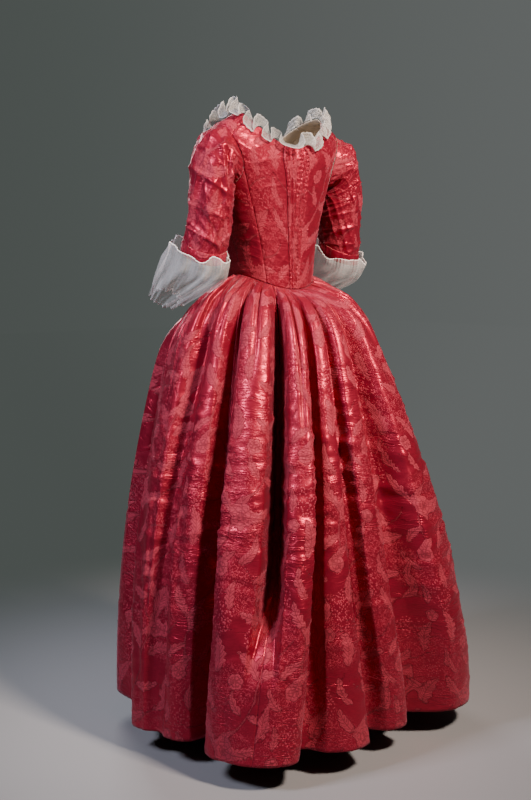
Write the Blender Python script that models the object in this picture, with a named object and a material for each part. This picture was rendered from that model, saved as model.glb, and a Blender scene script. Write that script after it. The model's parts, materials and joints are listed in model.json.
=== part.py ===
"""Open silk gown with a fitted back, its petticoat, elbow ruffles and neck frill, worn and hollow.

The frame has +Z up, the front facing -Y and the wearer's left side at +X.  Heights in the tables are
metres above the hem; the origin lies midway between the tops of the two shoulder straps.
Angles run round the figure from the wearer's left (0) to the back (90), the right (180) and the front (-90).
"""

import bpy
import numpy as np

# Driving sizes, in metres
SHOULDER = 1.320         # top of the shoulder strap above the hem
SILK = 0.0020            # wall of the silk pieces
LAWN = 0.0016            # wall of the elbow ruffles and the neck frill
GAP = 0.0004             # air between two pieces at a seam
BAND_WIDTH = 0.025       # turned band at the end of each sleeve
FRILL_WIDTH = 0.032      # neck frill from its seam to its edge
FRILL_WAVES = 16
RUFFLE_WAVES = 10

# Bodice rings from waist to neckline: where the ring passes the side, the back and the front
RING_COLUMNS = ("level", "half_width", "side_y", "back_y", "front_y", "side_h", "back_h", "front_h")
RINGS = (
    (0.00, 0.098, 0.018, 0.100, -0.078, 0.972, 0.939, 0.917),
    (0.22, 0.105, 0.020, 0.101, -0.100, 1.037, 1.011, 0.991),
    (0.42, 0.121, 0.024, 0.104, -0.128, 1.100, 1.090, 1.066),
    (0.62, 0.141, 0.031, 0.108, -0.143, 1.174, 1.164, 1.128),
    (0.84, 0.163, 0.042, 0.108, -0.145, 1.283, 1.222, 1.172),
    (1.00, 0.112, 0.045, 0.101, -0.135, 1.320, 1.247, 1.200),
)
RING_SQUARENESS = 2.3

# Seams of the bodice, as angles on the rings
ARMHOLE = {"angle": 9.0, "angle_reach": 28.0, "level": 0.725, "level_reach": 0.125}
PLEAT_LINE = (82.5, 75.5)          # outer line of the stitched back pleats, at the waist and at the neck
BACK_SEAM_ANGLE = 50.0             # side back seam at the waist
FRONT_SEAM_ANGLE = -25.0           # side front seam at the waist
STRAP_NECK_ANGLES = (26.0, -20.0)  # where the strap meets the neckline, back and front
STRAP_HOLE_TURNS = (50.0, 130.0)   # where the strap meets the armhole, back and front
SIDE_HOLE_TURNS = (-20.0, 200.0)   # where the side panel meets the armhole, back and front

# Stitched pleats that run down the centre back: how far round from the seam, and how high they stand
RIDGE_SHARES = (0.28, 0.74)
RIDGE_HEIGHT = 0.0024
RIDGE_WIDTH = 0.13

# Points along the bodice's edges: rows up the seam, the armhole and the strap, and columns of each panel
SEAM_ROWS, HOLE_ROWS, STRAP_ROWS = 6, 4, 3
PANEL_COLUMNS = {"centre_back": 9, "back": 8, "side": 9, "front": 8, "shoulder_strap": 7}

SHARP_EDGE = 50.0                  # faces that meet at more degrees than this keep a sharp edge

# Sleeve rings from below the armhole to the elbow: centre (x, y, height), half sizes across and up, tilt
SLEEVE_RINGS = (
    (0.172, 0.040, 1.221, 0.061, 0.057, 22.0),
    (0.184, 0.042, 1.188, 0.059, 0.051, 50.0),
    (0.187, 0.043, 1.145, 0.057, 0.047, 76.0),
    (0.188, 0.041, 1.096, 0.054, 0.046, 90.0),
    (0.194, 0.036, 1.052, 0.052, 0.045, 92.0),
    (0.199, 0.026, 1.012, 0.049, 0.044, 94.0),
)
SLEEVE_EDGE_SLOPE = 0.022          # the elbow edge is this much lower at the back and higher at the front
SLEEVE_BAND_RISE = 0.0020

# Elbow ruffle rings from the sleeve to the wrist, lowest behind and highest in front:
# x, half width, y and height of the lowest point, y and height of the highest, height of the waves
RUFFLE_RINGS = (
    (0.198, 0.0494, 0.0827, 0.998, -0.0268, 1.042, 0.0005),
    (0.201, 0.0580, 0.086, 0.976, -0.064, 1.034, 0.0020),
    (0.202, 0.0590, 0.070, 0.955, -0.082, 1.017, 0.0035),
    (0.200, 0.0570, 0.025, 0.938, -0.098, 0.993, 0.0040),
    (0.195, 0.0490, -0.042, 0.917, -0.123, 0.966, 0.0040),
    (0.188, 0.0400, -0.102, 0.898, -0.148, 0.936, 0.0045),
)

# Neck frill: mean rise over the shoulder line and swing to either side of it, in degrees,
# and how far its seam stands above the neckline
FRILL_RISE = 38.0
FRILL_SWING = 46.0
FRILL_LIFT = 0.0030
NECK_SLOPE_LEVEL = 0.97            # level just under the neckline, which shows the way out from it

# Heights of the three measured levels of the skirt
HIP_BACK = 0.832
HIP_FRONT = 0.780
MID = 0.524
# Rows above the hip: share of the spread from waist to hip, share of the height left behind and in front
YOKE_ROWS = (
    (0.00, 1.00, 1.00),
    (0.24, 0.92, 0.87),
    (0.58, 0.74, 0.64),
    (0.86, 0.40, 0.34),
)
LOW_ROWS = (0.71, 0.59, 0.45, 0.30, 0.15, 0.0)
AXIS_Y = {"hip": 0.043, "mid": 0.051, "hem": 0.052}
PLEAT_DEPTH = 0.0042
PLEAT_FADE = 0.30                  # height below the waist over which the small pleats die out
PLEAT_SWELL = 0.45                 # below 1 the pleats stand highest near the waist
OVERHANG = 0.10                    # how far a fold leans over its valleys, as a share of its depth
# Shares of the way from a crest to a valley where the fold's wall starts and how wide it is, and the
# share of the fold's depth that the rounded crest itself falls, at the hip, at mid height and at the hem
FOLD_SHAPE = {"hip": (0.42, 0.34, 0.14), "mid": (0.50, 0.32, 0.12), "hem": (0.42, 0.50, 0.20)}

FOLD_STEPS = 400                   # places at which a fold's outline is walked to spread its columns

# Folds of the gown's skirt, from its left front edge round the back to the right one
FOLD_COLUMNS = ("kind", "pleat", "columns", "waist", "hip", "mid", "hem",
                "hip_reach", "mid_reach", "hem_reach")
FOLDS = (
    ("edge", 0.5, 12, -50, -37, -34, -21, 0.253, 0.300, 0.337),
    ("crest", 3.5, 7, -14, -14, -10, -8, 0.244, 0.320, 0.376),
    ("valley", 5.5, 6, 10, 1, 2, 3, 0.192, 0.284, 0.352),
    ("crest", 6.5, 6, 22, 12, 12, 10, 0.222, 0.310, 0.362),
    ("valley", 7.5, 7, 33, 19, 22, 21, 0.176, 0.244, 0.292),
    ("crest", 8.5, 8, 45, 37, 36, 33, 0.224, 0.338, 0.410),
    ("valley", 9.5, 8, 57, 51, 49, 42, 0.150, 0.222, 0.400),
    ("crest", 10.5, 7, 67, 61, 58, 50, 0.222, 0.340, 0.420),
    ("valley", 11.5, 5, 76, 69, 64, 57, 0.180, 0.258, 0.332),
    ("crest", 12.0, 5, 81, 75, 70, 73, 0.208, 0.306, 0.368),
    ("valley", 12.5, 5, 86, 82, 79, 89, 0.182, 0.260, 0.288),
    ("crest", 13.0, 5, 92, 90, 87, 102, 0.214, 0.298, 0.335),
    ("valley", 13.5, 7, 98, 99, 97, 114, 0.182, 0.256, 0.290),
    ("crest", 14.5, 7, 112, 118, 121, 139, 0.228, 0.344, 0.439),
    ("valley", 15.5, 7, 125, 134, 141, 153, 0.188, 0.276, 0.352),
    ("crest", 16.5, 7, 137, 146, 152, 165, 0.228, 0.338, 0.401),
    ("valley", 17.5, 8, 148, 156, 165, 174, 0.186, 0.262, 0.318),
    ("crest", 19.0, 7, 164, 168, 174, 181, 0.224, 0.316, 0.372),
    ("valley", 20.5, 7, 178, 181, 184, 187, 0.198, 0.284, 0.346),
    ("crest", 22.0, 10, 200, 197, 196, 194, 0.242, 0.316, 0.366),
    ("edge", 24.5, 0, 230, 217, 214, 201, 0.253, 0.300, 0.337),
)
# Crests that run into one above the hem: their pleats, the heights where the valley between them starts
# to close and has closed, and how far the joined fold swells
MERGED_FOLDS = ((8.5, 10.5, 0.36, 0.14, 0.016),)
SKIRT_SEAM_PLEATS = (9.5, 12.5, 15.5)     # the breadths of silk are joined in these valleys
SKIRT_PIECES = ("skirt_side_left", "skirt_back_left", "skirt_back_right", "skirt_side_right")

# Reaches of the petticoat from the centre front (-90) to the centre back (90), the same on both sides
PETTICOAT_COLUMNS = ("angle", "hip_reach", "mid_reach", "hem_reach")
PETTICOAT = (
    (-90, 0.235, 0.286, 0.336),
    (-75, 0.252, 0.292, 0.343),
    (-60, 0.286, 0.328, 0.364),
    (-46, 0.276, 0.340, 0.386),
    (-33, 0.232, 0.288, 0.341),
    (-20, 0.212, 0.271, 0.312),
    (5, 0.180, 0.251, 0.295),
    (27, 0.165, 0.233, 0.281),
    (48, 0.145, 0.203, 0.284),
    (68, 0.155, 0.228, 0.271),
    (90, 0.162, 0.231, 0.259),
)
# Its breadths of silk from the left back seam round to the right, each a quarter of the way round
PETTICOAT_PIECES = ("petticoat_back", "petticoat_side_right", "petticoat_front", "petticoat_side_left")
PETTICOAT_SEAM = 45.0
PETTICOAT_RISE = 0.006             # how far its waist goes up inside the bodice
FRONT_LAP = 9.0                    # degrees past the gown's front edges that the petticoat still keeps clear
PETTICOAT_EASE = 0.008             # least room between the petticoat and the gown over it, below the hip
GOWN_NEIGHBOURS = 4                # columns of the gown to either side whose least reach it keeps under

SILK_COLOUR, SILK_ROUGHNESS = (0.42, 0.022, 0.045, 1.0), 0.45
LAWN_COLOUR, LAWN_ROUGHNESS = (0.80, 0.79, 0.77, 1.0), 0.80


def column(table, names, wanted):
    """One named column of a table, as an array."""
    place = names.index(wanted)
    return np.array([row[place] for row in table], float)


def smooth(knots, values, at):
    """Cubic curve through the values at the knots, read at many places."""
    knots, values, at = (np.asarray(a, float) for a in (knots, values, at))
    slopes = np.gradient(values, knots)
    left = np.clip(np.searchsorted(knots, at, side="right") - 1, 0, len(knots) - 2)
    span = knots[left + 1] - knots[left]
    t = (at - knots[left]) / span
    rise = (1 + 2 * t) * (1 - t) ** 2 * values[left] + t * t * (3 - 2 * t) * values[left + 1]
    turn = t * (1 - t) ** 2 * slopes[left] - t * t * (1 - t) * slopes[left + 1]
    return rise + span * turn


def torso(angle, level):
    """Points of the bodice surface at angles in degrees and levels from waist (0) to neckline (1)."""
    level = np.clip(level, 0.0, 1.0)
    ring = {n: smooth(column(RINGS, RING_COLUMNS, "level"), column(RINGS, RING_COLUMNS, n), level)
            for n in RING_COLUMNS[1:]}
    c, s = np.cos(np.radians(angle)), np.sin(np.radians(angle))
    n = RING_SQUARENESS
    square = (np.abs(c) ** n + np.abs(s) ** n) ** (-1 / n)
    reach = np.where(s > 0, ring["back_y"] - ring["side_y"], ring["side_y"] - ring["front_y"])
    drop = np.where(s > 0, ring["back_h"], ring["front_h"]) - ring["side_h"]
    return np.stack([ring["half_width"] * c * square,
                     ring["side_y"] + reach * s * square,
                     ring["side_h"] + drop * s * s - SHOULDER], axis=-1)


def unit(vectors):
    return vectors / np.maximum(np.linalg.norm(vectors, axis=-1, keepdims=True), 1e-9)


def torso_normals(angle, level, step=0.5):
    """Outward directions of the bodice surface, from its slopes round the figure and up it."""
    lift = step / 100
    low, high = np.clip(level - lift, 0, 1), np.clip(level + lift, 0, 1)
    return unit(np.cross(torso(angle + step, level) - torso(angle - step, level),
                         torso(angle, high) - torso(angle, low)))


def grid_normals(points, closed=False):
    """Outward directions of a grid whose rows go up and whose columns go round towards the back."""
    if closed:
        round_way = np.roll(points, -1, axis=1) - np.roll(points, 1, axis=1)
    else:
        round_way = np.gradient(points, axis=1)
    return unit(np.cross(round_way, np.gradient(points, axis=0)))


def mirrored(grid):
    """The same piece on the wearer's right."""
    return grid[:, ::-1] * np.array([-1.0, 1.0, 1.0])


def inset(grid, sides="tblr"):
    """The grid with its named edges drawn in by half of a seam's gap."""
    grid = grid.copy()
    edges = {"b": (grid[0], grid[1]), "t": (grid[-1], grid[-2]),
             "l": (grid[:, 0], grid[:, 1]), "r": (grid[:, -1], grid[:, -2])}
    for side in sides:
        edge, inside = edges[side]
        edge += unit(inside - edge) * GAP / 2
    return grid


def two_triangles(a, b, c, d):
    return [(a, b, c), (a, c, d)]


def wall_faces(rows, cols, closed):
    """Triangles of a wall: outer points first, then the inner ones, in rows."""
    count = rows * cols
    around = cols if closed else cols - 1
    faces = []
    for i in range(rows - 1):
        for j in range(around):
            k = (j + 1) % cols
            a, b, c, d = i * cols + j, i * cols + k, (i + 1) * cols + k, (i + 1) * cols + j
            outer = two_triangles(a, b, c, d)
            faces += outer
            faces += [tuple(count + v for v in reversed(face)) for face in outer]
    top = (rows - 1) * cols
    for j in range(around):
        k = (j + 1) % cols
        faces += two_triangles(k, j, count + j, count + k)
        faces += two_triangles(top + j, top + k, count + top + k, count + top + j)
    if not closed:
        for i in range(rows - 1):
            a, b = i * cols, (i + 1) * cols
            faces += two_triangles(a, b, count + b, count + a)
            a, b = a + cols - 1, b + cols - 1
            faces += two_triangles(a, count + a, count + b, b)
    return faces


def add_wall(name, outer, inner, material, closed=False):
    """A named object whose closed mesh lies between two grids of points."""
    rows, cols = outer.shape[:2]
    mesh = bpy.data.meshes.new(name)
    points = np.concatenate([outer.reshape(-1, 3), inner.reshape(-1, 3)])
    mesh.from_pydata(points.tolist(), [], wall_faces(rows, cols, closed))
    mesh.materials.append(material)
    mesh.shade_smooth()
    mesh.set_sharp_from_angle(angle=np.radians(SHARP_EDGE))
    piece = bpy.data.objects.new(name, mesh)
    bpy.context.scene.collection.objects.link(piece)
    return piece


def make_material(name, colour, roughness):
    material = bpy.data.materials.new(name)
    material.use_nodes = True
    shader = material.node_tree.nodes["Principled BSDF"]
    shader.inputs["Base Color"].default_value = colour
    shader.inputs["Roughness"].default_value = roughness
    shader.inputs["Metallic"].default_value = 0.0
    return material


def armhole(turn):
    """Angle and level of the armhole's edge, from a turn in degrees: 0 at the back, 90 at the top."""
    turn = np.radians(turn)
    return np.stack([ARMHOLE["angle"] + ARMHOLE["angle_reach"] * np.cos(turn),
                     ARMHOLE["level"] + ARMHOLE["level_reach"] * np.sin(turn)], axis=-1)


def line(start, end, count):
    """Evenly spaced places from one (angle, level) to another."""
    share = np.linspace(0, 1, count)[:, None]
    return np.asarray(start, float) * (1 - share) + np.asarray(end, float) * share


def joined(*parts):
    """Lines end to end, each shared place kept once."""
    return np.concatenate([parts[0]] + [part[1:] for part in parts[1:]])


def patch(bottom, top, left, right):
    """Grid of places between four edges, blended evenly from each pair of opposite ones."""
    u = np.linspace(0, 1, len(bottom))[None, :, None]
    v = np.linspace(0, 1, len(left))[:, None, None]
    across = left[:, None] * (1 - u) + right[:, None] * u
    up = bottom[None] * (1 - v) + top[None] * v
    corners = (bottom[0] * (1 - u) * (1 - v) + bottom[-1] * u * (1 - v)
               + top[0] * (1 - u) * v + top[-1] * u * v)
    return across + up - corners


def bodice_grids(places, raised=0.0):
    """Outer and inner points of a bodice panel from its (angle, level) places."""
    angle, level = places[..., 0], places[..., 1]
    surface, normal = torso(angle, level), torso_normals(angle, level)
    lift = np.asarray(raised, float)[..., None] if np.ndim(raised) else raised
    return inset(surface + normal * lift), inset(surface - normal * SILK)


def centre_back_ridges(rows, cols):
    """Heights of the stitched pleats on the centre back panel, nothing at its two seams."""
    across = np.linspace(1, 0, cols)
    ridges = sum(np.exp(-((across - share) / RIDGE_WIDTH) ** 2) for share in RIDGE_SHARES)
    ridges[[0, -1]] = 0.0
    return np.tile(RIDGE_HEIGHT * ridges, (rows, 1))


def bodice_panels():
    """Places of each left-hand bodice panel; columns run from the front towards the centre back."""
    pleat_low, pleat_high = (PLEAT_LINE[0], 0.0), (PLEAT_LINE[1], 1.0)
    back_hole, front_hole = armhole(SIDE_HOLE_TURNS[0]), armhole(SIDE_HOLE_TURNS[1])
    strap_back, strap_front = armhole(STRAP_HOLE_TURNS[0]), armhole(STRAP_HOLE_TURNS[1])
    neck_back, neck_front = (STRAP_NECK_ANGLES[0], 1.0), (STRAP_NECK_ANGLES[1], 1.0)
    seam_low, seam_front = (BACK_SEAM_ANGLE, 0.0), (FRONT_SEAM_ANGLE, 0.0)
    count, rows = PANEL_COLUMNS, SEAM_ROWS + HOLE_ROWS + STRAP_ROWS - 2
    back_edge = joined(line(seam_low, back_hole, SEAM_ROWS),
                       armhole(np.linspace(SIDE_HOLE_TURNS[0], STRAP_HOLE_TURNS[0], HOLE_ROWS)),
                       line(strap_back, neck_back, STRAP_ROWS))
    front_edge = joined(line(seam_front, front_hole, SEAM_ROWS),
                        armhole(np.linspace(SIDE_HOLE_TURNS[1], STRAP_HOLE_TURNS[1], HOLE_ROWS)),
                        line(strap_front, neck_front, STRAP_ROWS))
    return {
        "centre_back": patch(line(pleat_low, (90.0, 0.0), count["centre_back"]),
                             line(pleat_high, (90.0, 1.0), count["centre_back"]),
                             line(pleat_low, pleat_high, rows), line((90.0, 0.0), (90.0, 1.0), rows)),
        "back": patch(line(seam_low, pleat_low, count["back"]), line(neck_back, pleat_high, count["back"]),
                      back_edge, line(pleat_low, pleat_high, rows)),
        "side": patch(line(seam_front, seam_low, count["side"]),
                      armhole(np.linspace(SIDE_HOLE_TURNS[1], SIDE_HOLE_TURNS[0] + 360, count["side"])),
                      line(seam_front, front_hole, SEAM_ROWS), line(seam_low, back_hole, SEAM_ROWS)),
        "front": patch(line((-90.0, 0.0), seam_front, count["front"]),
                       line((-90.0, 1.0), neck_front, count["front"]),
                       line((-90.0, 0.0), (-90.0, 1.0), rows), front_edge),
        "shoulder_strap": patch(
            armhole(np.linspace(STRAP_HOLE_TURNS[1], STRAP_HOLE_TURNS[0], count["shoulder_strap"])),
            line(neck_front, neck_back, count["shoulder_strap"]),
            line(strap_front, neck_front, STRAP_ROWS), line(strap_back, neck_back, STRAP_ROWS)),
    }


def add_bodice(silk):
    for name, places in bodice_panels().items():
        raised = centre_back_ridges(*places.shape[:2]) if name == "centre_back" else 0.0
        outer, inner = bodice_grids(places, raised)
        add_wall(name + "_left", outer, inner, silk)
        add_wall(name + "_right", mirrored(outer), mirrored(inner), silk)


def sleeve_grid(columns=24):
    """Points of the left sleeve, from its elbow edge up to the armhole."""
    turn = -np.linspace(0, 360, columns, endpoint=False)
    c, s = np.cos(np.radians(turn)), np.sin(np.radians(turn))
    rings = []
    for x, y, height, across, up, tilt in reversed(SLEEVE_RINGS):
        lean = np.radians(tilt)
        rings.append(np.stack([x + up * s * np.sin(lean), y + across * c,
                               height - SHOULDER + up * s * np.cos(lean)], axis=-1))
    rings[0][:, 2] -= SLEEVE_EDGE_SLOPE * c
    rings[1][:, 2] -= SLEEVE_EDGE_SLOPE / 2 * c
    angle, level = armhole(turn).T
    rings.append(torso(angle, level) + torso_normals(angle, level) * 2 * GAP)
    return np.stack(rings)


def band_grid(sleeve):
    """Points of the sleeve's outer surface over the turned band's width, from the edge up."""
    along = unit(sleeve[1] - sleeve[0])
    return np.stack([sleeve[0] + along * BAND_WIDTH * share for share in (0.0, 0.5, 1.0)])


def add_sleeves(silk):
    sleeve = sleeve_grid()
    normals = grid_normals(sleeve, closed=True)
    inner = sleeve - normals * SILK
    band = band_grid(sleeve)
    band_normals = grid_normals(band, closed=True)
    band_inner = band + band_normals * GAP
    band_outer = band_inner + band_normals * SLEEVE_BAND_RISE
    for name, outside, inside in (("sleeve", sleeve, inner), ("sleeve_band", band_outer, band_inner)):
        add_wall(name + "_left", outside, inside, silk, closed=True)
        add_wall(name + "_right", mirrored(outside), mirrored(inside), silk, closed=True)


def ruffle_grid(columns_a_wave=4):
    """Points of the left elbow ruffle, from the wrist end up to its rim round the sleeve."""
    turn = -np.linspace(0, 2 * np.pi, RUFFLE_WAVES * columns_a_wave, endpoint=False)
    rings = []
    for x, half_width, low_y, low_h, high_y, high_h, wave in reversed(RUFFLE_RINGS):
        centre = np.array([x, (low_y + high_y) / 2, (low_h + high_h) / 2 - SHOULDER])
        sideways = np.array([half_width, 0.0, 0.0])
        forward = np.array([0.0, (high_y - low_y) / 2, (high_h - low_h) / 2])
        swell = 1 + wave * np.cos(RUFFLE_WAVES * turn) / half_width
        spokes = np.cos(turn)[:, None] * -forward + np.sin(turn)[:, None] * sideways
        rings.append(centre + spokes * swell[:, None])
    return np.stack(rings)


def add_ruffles(lawn):
    outer = ruffle_grid()
    inner = outer - grid_normals(outer, closed=True) * LAWN
    add_wall("elbow_ruffle_left", outer, inner, lawn, closed=True)
    add_wall("elbow_ruffle_right", mirrored(outer), mirrored(inner), lawn, closed=True)


def frill_grid(columns_a_wave=8):
    """Points of the neck frill: a strip that swings up and out round the neckline in even waves."""
    turn = np.linspace(0, 360, FRILL_WAVES * columns_a_wave, endpoint=False)
    neckline = torso(turn, np.ones_like(turn))
    below = torso(turn, np.full_like(turn, NECK_SLOPE_LEVEL))
    out = unit((below - neckline) * np.array([1.0, 1.0, 0.0]))
    rise = np.radians(FRILL_RISE + FRILL_SWING * np.sin(np.radians(turn) * FRILL_WAVES))
    way = out * np.cos(rise)[:, None] + np.array([0.0, 0.0, 1.0]) * np.sin(rise)[:, None]
    base = neckline + np.array([0.0, 0.0, FRILL_LIFT])
    return np.stack([base + way * FRILL_WIDTH * share for share in (0.0, 0.5, 1.0)])


def add_frill(lawn):
    outer = frill_grid()[::-1]
    inner = outer - grid_normals(outer, closed=True) * LAWN
    add_wall("neck_frill", outer, inner, lawn, closed=True)


def between_levels(height, hip_height, hip, mid, hem):
    """The curve of second degree through a value at the hip, at mid height and at the hem."""
    a = (height - MID) * height / ((hip_height - MID) * hip_height)
    b = (height - hip_height) * height / ((MID - hip_height) * MID)
    c = (height - hip_height) * (height - MID) / (hip_height * MID)
    return a * hip + b * mid + c * hem


def hip_height(angle):
    """Height of the skirt's fullest shoulder: high over the back, lower in front."""
    return HIP_FRONT + (HIP_BACK - HIP_FRONT) * (1 + np.sin(np.radians(angle))) / 2


def skirt_rows(waist_angle, waist, hip_angles, mid_angles, hem_angles, reaches):
    """Rows of a skirt from its hem up: angles and reaches at hip, mid and hem give every height."""
    hip_h = hip_height(hip_angles)
    heights = [np.full_like(hip_h, h) for h in reversed(LOW_ROWS)] + [hip_h]
    rows = []
    for height in heights:
        angle = np.radians(between_levels(height, hip_h, hip_angles, mid_angles, hem_angles))
        reach = between_levels(height, hip_h, *reaches)
        axis = between_levels(height, hip_h, *AXIS_Y.values())
        rows.append(np.stack([reach * np.cos(angle), axis + reach * np.sin(angle),
                              height - SHOULDER], axis=-1))
    hip = rows[-1]
    behind = (1 + np.sin(np.radians(hip_angles))) / 2
    for spread, back_drop, front_drop in reversed(YOKE_ROWS):
        row = waist + (hip - waist) * spread
        drop = front_drop + (back_drop - front_drop) * behind
        row[:, 2] = hip[:, 2] + (waist[:, 2] - hip[:, 2]) * drop
        rows.append(row)
    return np.stack(rows)


def into_valley(toward, crest, wall, fall):
    """Share of a fold's depth on the way from its crest (0) to the valley (1): dome, wall and floor."""
    t = np.clip((toward - crest) / wall, 0, 1)
    return fall * np.clip(toward / crest, 0, 1) ** 2 + (1 - fall) * t * t * (3 - 2 * t)


def fold_columns():
    """For each column of the gown's skirt: its row in the fold table and its share of the way to the next.

    The columns are spread by the way walked along the fold, half across it and half down its wall.
    """
    starts, shares = [], []
    way = np.linspace(0, 1, FOLD_STEPS)
    for start, row in enumerate(FOLDS[:-1]):
        toward = 1 - way if row[0] == "valley" else way
        walked = way + np.cumsum(np.abs(np.gradient(into_valley(toward, *FOLD_SHAPE["mid"]))))
        walked = (walked - walked[0]) / (walked[-1] - walked[0])
        count = row[FOLD_COLUMNS.index("columns")]
        starts += [start] * count
        shares += list(np.interp(np.arange(count) / count, walked, way))
    starts.append(len(FOLDS) - 2)
    shares.append(1.0)
    return np.array(starts), np.array(shares)


def merge_folds(grid, pleat):
    """Closes the valleys of MERGED_FOLDS towards the hem with a straight stretch from crest to crest."""
    for first, last, start, end, swell in MERGED_FOLDS:
        a, b = (int(np.argmin(np.abs(pleat - p))) for p in (first, last))
        fold = grid[:, a:b + 1]
        share = np.linspace(0, 1, b - a + 1)[None, :, None]
        t = np.clip((start - fold[..., 2] - SHOULDER) / (start - end), 0, 1)[..., None]
        out = unit((fold[:, :1] + fold[:, -1:]) * np.array([1.0, 1.0, 0.0]))
        across = fold[:, :1] * (1 - share) + fold[:, -1:] * share + out * swell * 4 * share * (1 - share)
        grid[:, a:b + 1] = fold + (across - fold) * t * t * (3 - 2 * t)
    return grid


def gown_skirt():
    """Grid of the gown's skirt with its pleat numbers, rows from the hem up."""
    start, share = fold_columns()
    kinds = [row[0] for row in FOLDS]
    crest_first = np.array([kinds[s] != "valley" for s in start])
    toward = np.where(crest_first, share, 1 - share)

    def straight(name):
        values = column(FOLDS, FOLD_COLUMNS, name)
        return values[start] * (1 - share) + values[start + 1] * share

    def folded(level):
        values = column(FOLDS, FOLD_COLUMNS, level + "_reach")
        crest = np.where(crest_first, values[start], values[start + 1])
        valley = np.where(crest_first, values[start + 1], values[start])
        return crest + (valley - crest) * into_valley(toward, *FOLD_SHAPE[level])

    pleat = straight("pleat")
    lean = np.where(crest_first, 1, -1) * np.sin(np.pi * share) * OVERHANG
    angles, reaches = {}, {}
    for name in ("hip", "mid", "hem"):
        values = column(FOLDS, FOLD_COLUMNS, name + "_reach")
        reaches[name] = folded(name)
        depth = np.abs(values[start + 1] - values[start]) / reaches[name]
        angles[name] = straight(name) + np.degrees(lean * depth)
    waist_angle = straight("waist")
    waist = torso(waist_angle, np.zeros_like(waist_angle))
    waist[:, 2] -= GAP
    grid = skirt_rows(waist_angle, waist, angles["hip"], angles["mid"], angles["hem"],
                      (reaches["hip"], reaches["mid"], reaches["hem"]))
    grid = merge_folds(grid, pleat)
    below = np.clip((waist[:, 2] - grid[..., 2]) / PLEAT_FADE, 0, 1)
    depth = PLEAT_DEPTH * np.sin(np.pi * below ** PLEAT_SWELL)
    wave = np.cos(2 * np.pi * pleat)
    grid += grid_normals(grid) * (depth * wave)[..., None]
    return grid, pleat


def add_gown_skirt(grid, pleat, silk):
    inner = grid - grid_normals(grid) * SILK
    cuts = [0] + [int(np.argmin(np.abs(pleat - p))) for p in SKIRT_SEAM_PLEATS] + [len(pleat) - 1]
    for name, first, last in zip(SKIRT_PIECES, cuts[:-1], cuts[1:]):
        sides = ("l" if first else "") + ("r" if last < len(pleat) - 1 else "")
        part = slice(first, last + 1)
        add_wall(name, inset(grid[:, part], sides), inset(inner[:, part], sides), silk)


def polar(row):
    """Angle in degrees from the front right round to the front left, and reach, about the skirt's axis."""
    across, back = row[:, 0], row[:, 1] - AXIS_Y["hip"]
    angle = (np.degrees(np.arctan2(back, across)) + 90) % 360 - 90
    return angle, np.hypot(across, back)


def tuck_under(grid, gown):
    """Draws the petticoat's rows in wherever the gown's row over them would touch."""
    rows = len(grid)
    for i in range(rows - 1):
        angle, reach = polar(grid[i])
        over_angle, over_reach = polar(gown[i])
        near = np.min([np.roll(over_reach, k) for k in range(-GOWN_NEIGHBOURS, GOWN_NEIGHBOURS + 1)], axis=0)
        order = np.argsort(over_angle)
        ease = SILK + GAP + PETTICOAT_EASE * min(1.0, (rows - 1 - i) / len(YOKE_ROWS))
        lap = np.array([over_angle[order[0]] - FRONT_LAP, over_angle[order[-1]] + FRONT_LAP])
        places = np.concatenate([lap[:1], over_angle[order], lap[1:]])
        limits = np.concatenate([near[order[:1]], near[order], near[order[-1:]]])
        limit = np.interp(angle, places, limits, left=np.inf, right=np.inf) - ease
        share = np.minimum(1.0, limit / reach)
        grid[i, :, 0] *= share
        grid[i, :, 1] = AXIS_Y["hip"] + (grid[i, :, 1] - AXIS_Y["hip"]) * share
    grid[-len(YOKE_ROWS):, :, 2] -= PETTICOAT_EASE
    return grid


def petticoat_grid(gown, columns=48):
    """Grid of the petticoat all round, rows from the hem up, the first column at the left back seam."""
    turn = PETTICOAT_SEAM + np.linspace(0, 360, columns + 1)
    half = np.degrees(np.arcsin(np.sin(np.radians(turn))))
    knots = column(PETTICOAT, PETTICOAT_COLUMNS, "angle")
    reaches = [smooth(knots, column(PETTICOAT, PETTICOAT_COLUMNS, n), half)
               for n in PETTICOAT_COLUMNS[1:]]
    waist_level = np.zeros_like(turn)
    waist = torso(turn, waist_level) - torso_normals(turn, waist_level) * (SILK + 2 * GAP)
    grid = tuck_under(skirt_rows(turn, waist, turn, turn, turn, reaches), gown)
    collar = grid[-1] + np.array([0.0, 0.0, PETTICOAT_EASE + PETTICOAT_RISE])
    return np.concatenate([grid, collar[None]])


def add_petticoat(gown, silk):
    """The petticoat's breadths, as equal parts of one grid."""
    grid = petticoat_grid(gown)
    closed = grid[:, :-1]
    normals = grid_normals(closed, closed=True)
    inner = closed - normals * SILK
    inner = np.concatenate([inner, inner[:, :1]], axis=1)
    width = closed.shape[1] // len(PETTICOAT_PIECES)
    for k, name in enumerate(PETTICOAT_PIECES):
        part = slice(k * width, (k + 1) * width + 1)
        add_wall(name, inset(grid[:, part], "lr"), inset(inner[:, part], "lr"), silk)


def main():
    for old in list(bpy.data.objects):
        bpy.data.objects.remove(old, do_unlink=True)
    silk = make_material("silk", SILK_COLOUR, SILK_ROUGHNESS)
    lawn = make_material("lawn", LAWN_COLOUR, LAWN_ROUGHNESS)
    add_bodice(silk)
    add_sleeves(silk)
    add_ruffles(lawn)
    add_frill(lawn)
    gown, pleat = gown_skirt()
    add_gown_skirt(gown, pleat, silk)
    add_petticoat(gown, silk)


main()
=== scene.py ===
# %% [markdown]
# # A silk damask gown with a fitted back, worn over its petticoat
# The CAD part gives the cut: bodice panels, sleeves, pleated skirt, petticoat, ruffles and neck frill.
# This script lays the cloth itself over each of those solids: woven silk with its figures, creases,
# stitched pleats and seams, sheer lawn at the elbows and lace at the neck.

import json
import math

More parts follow.
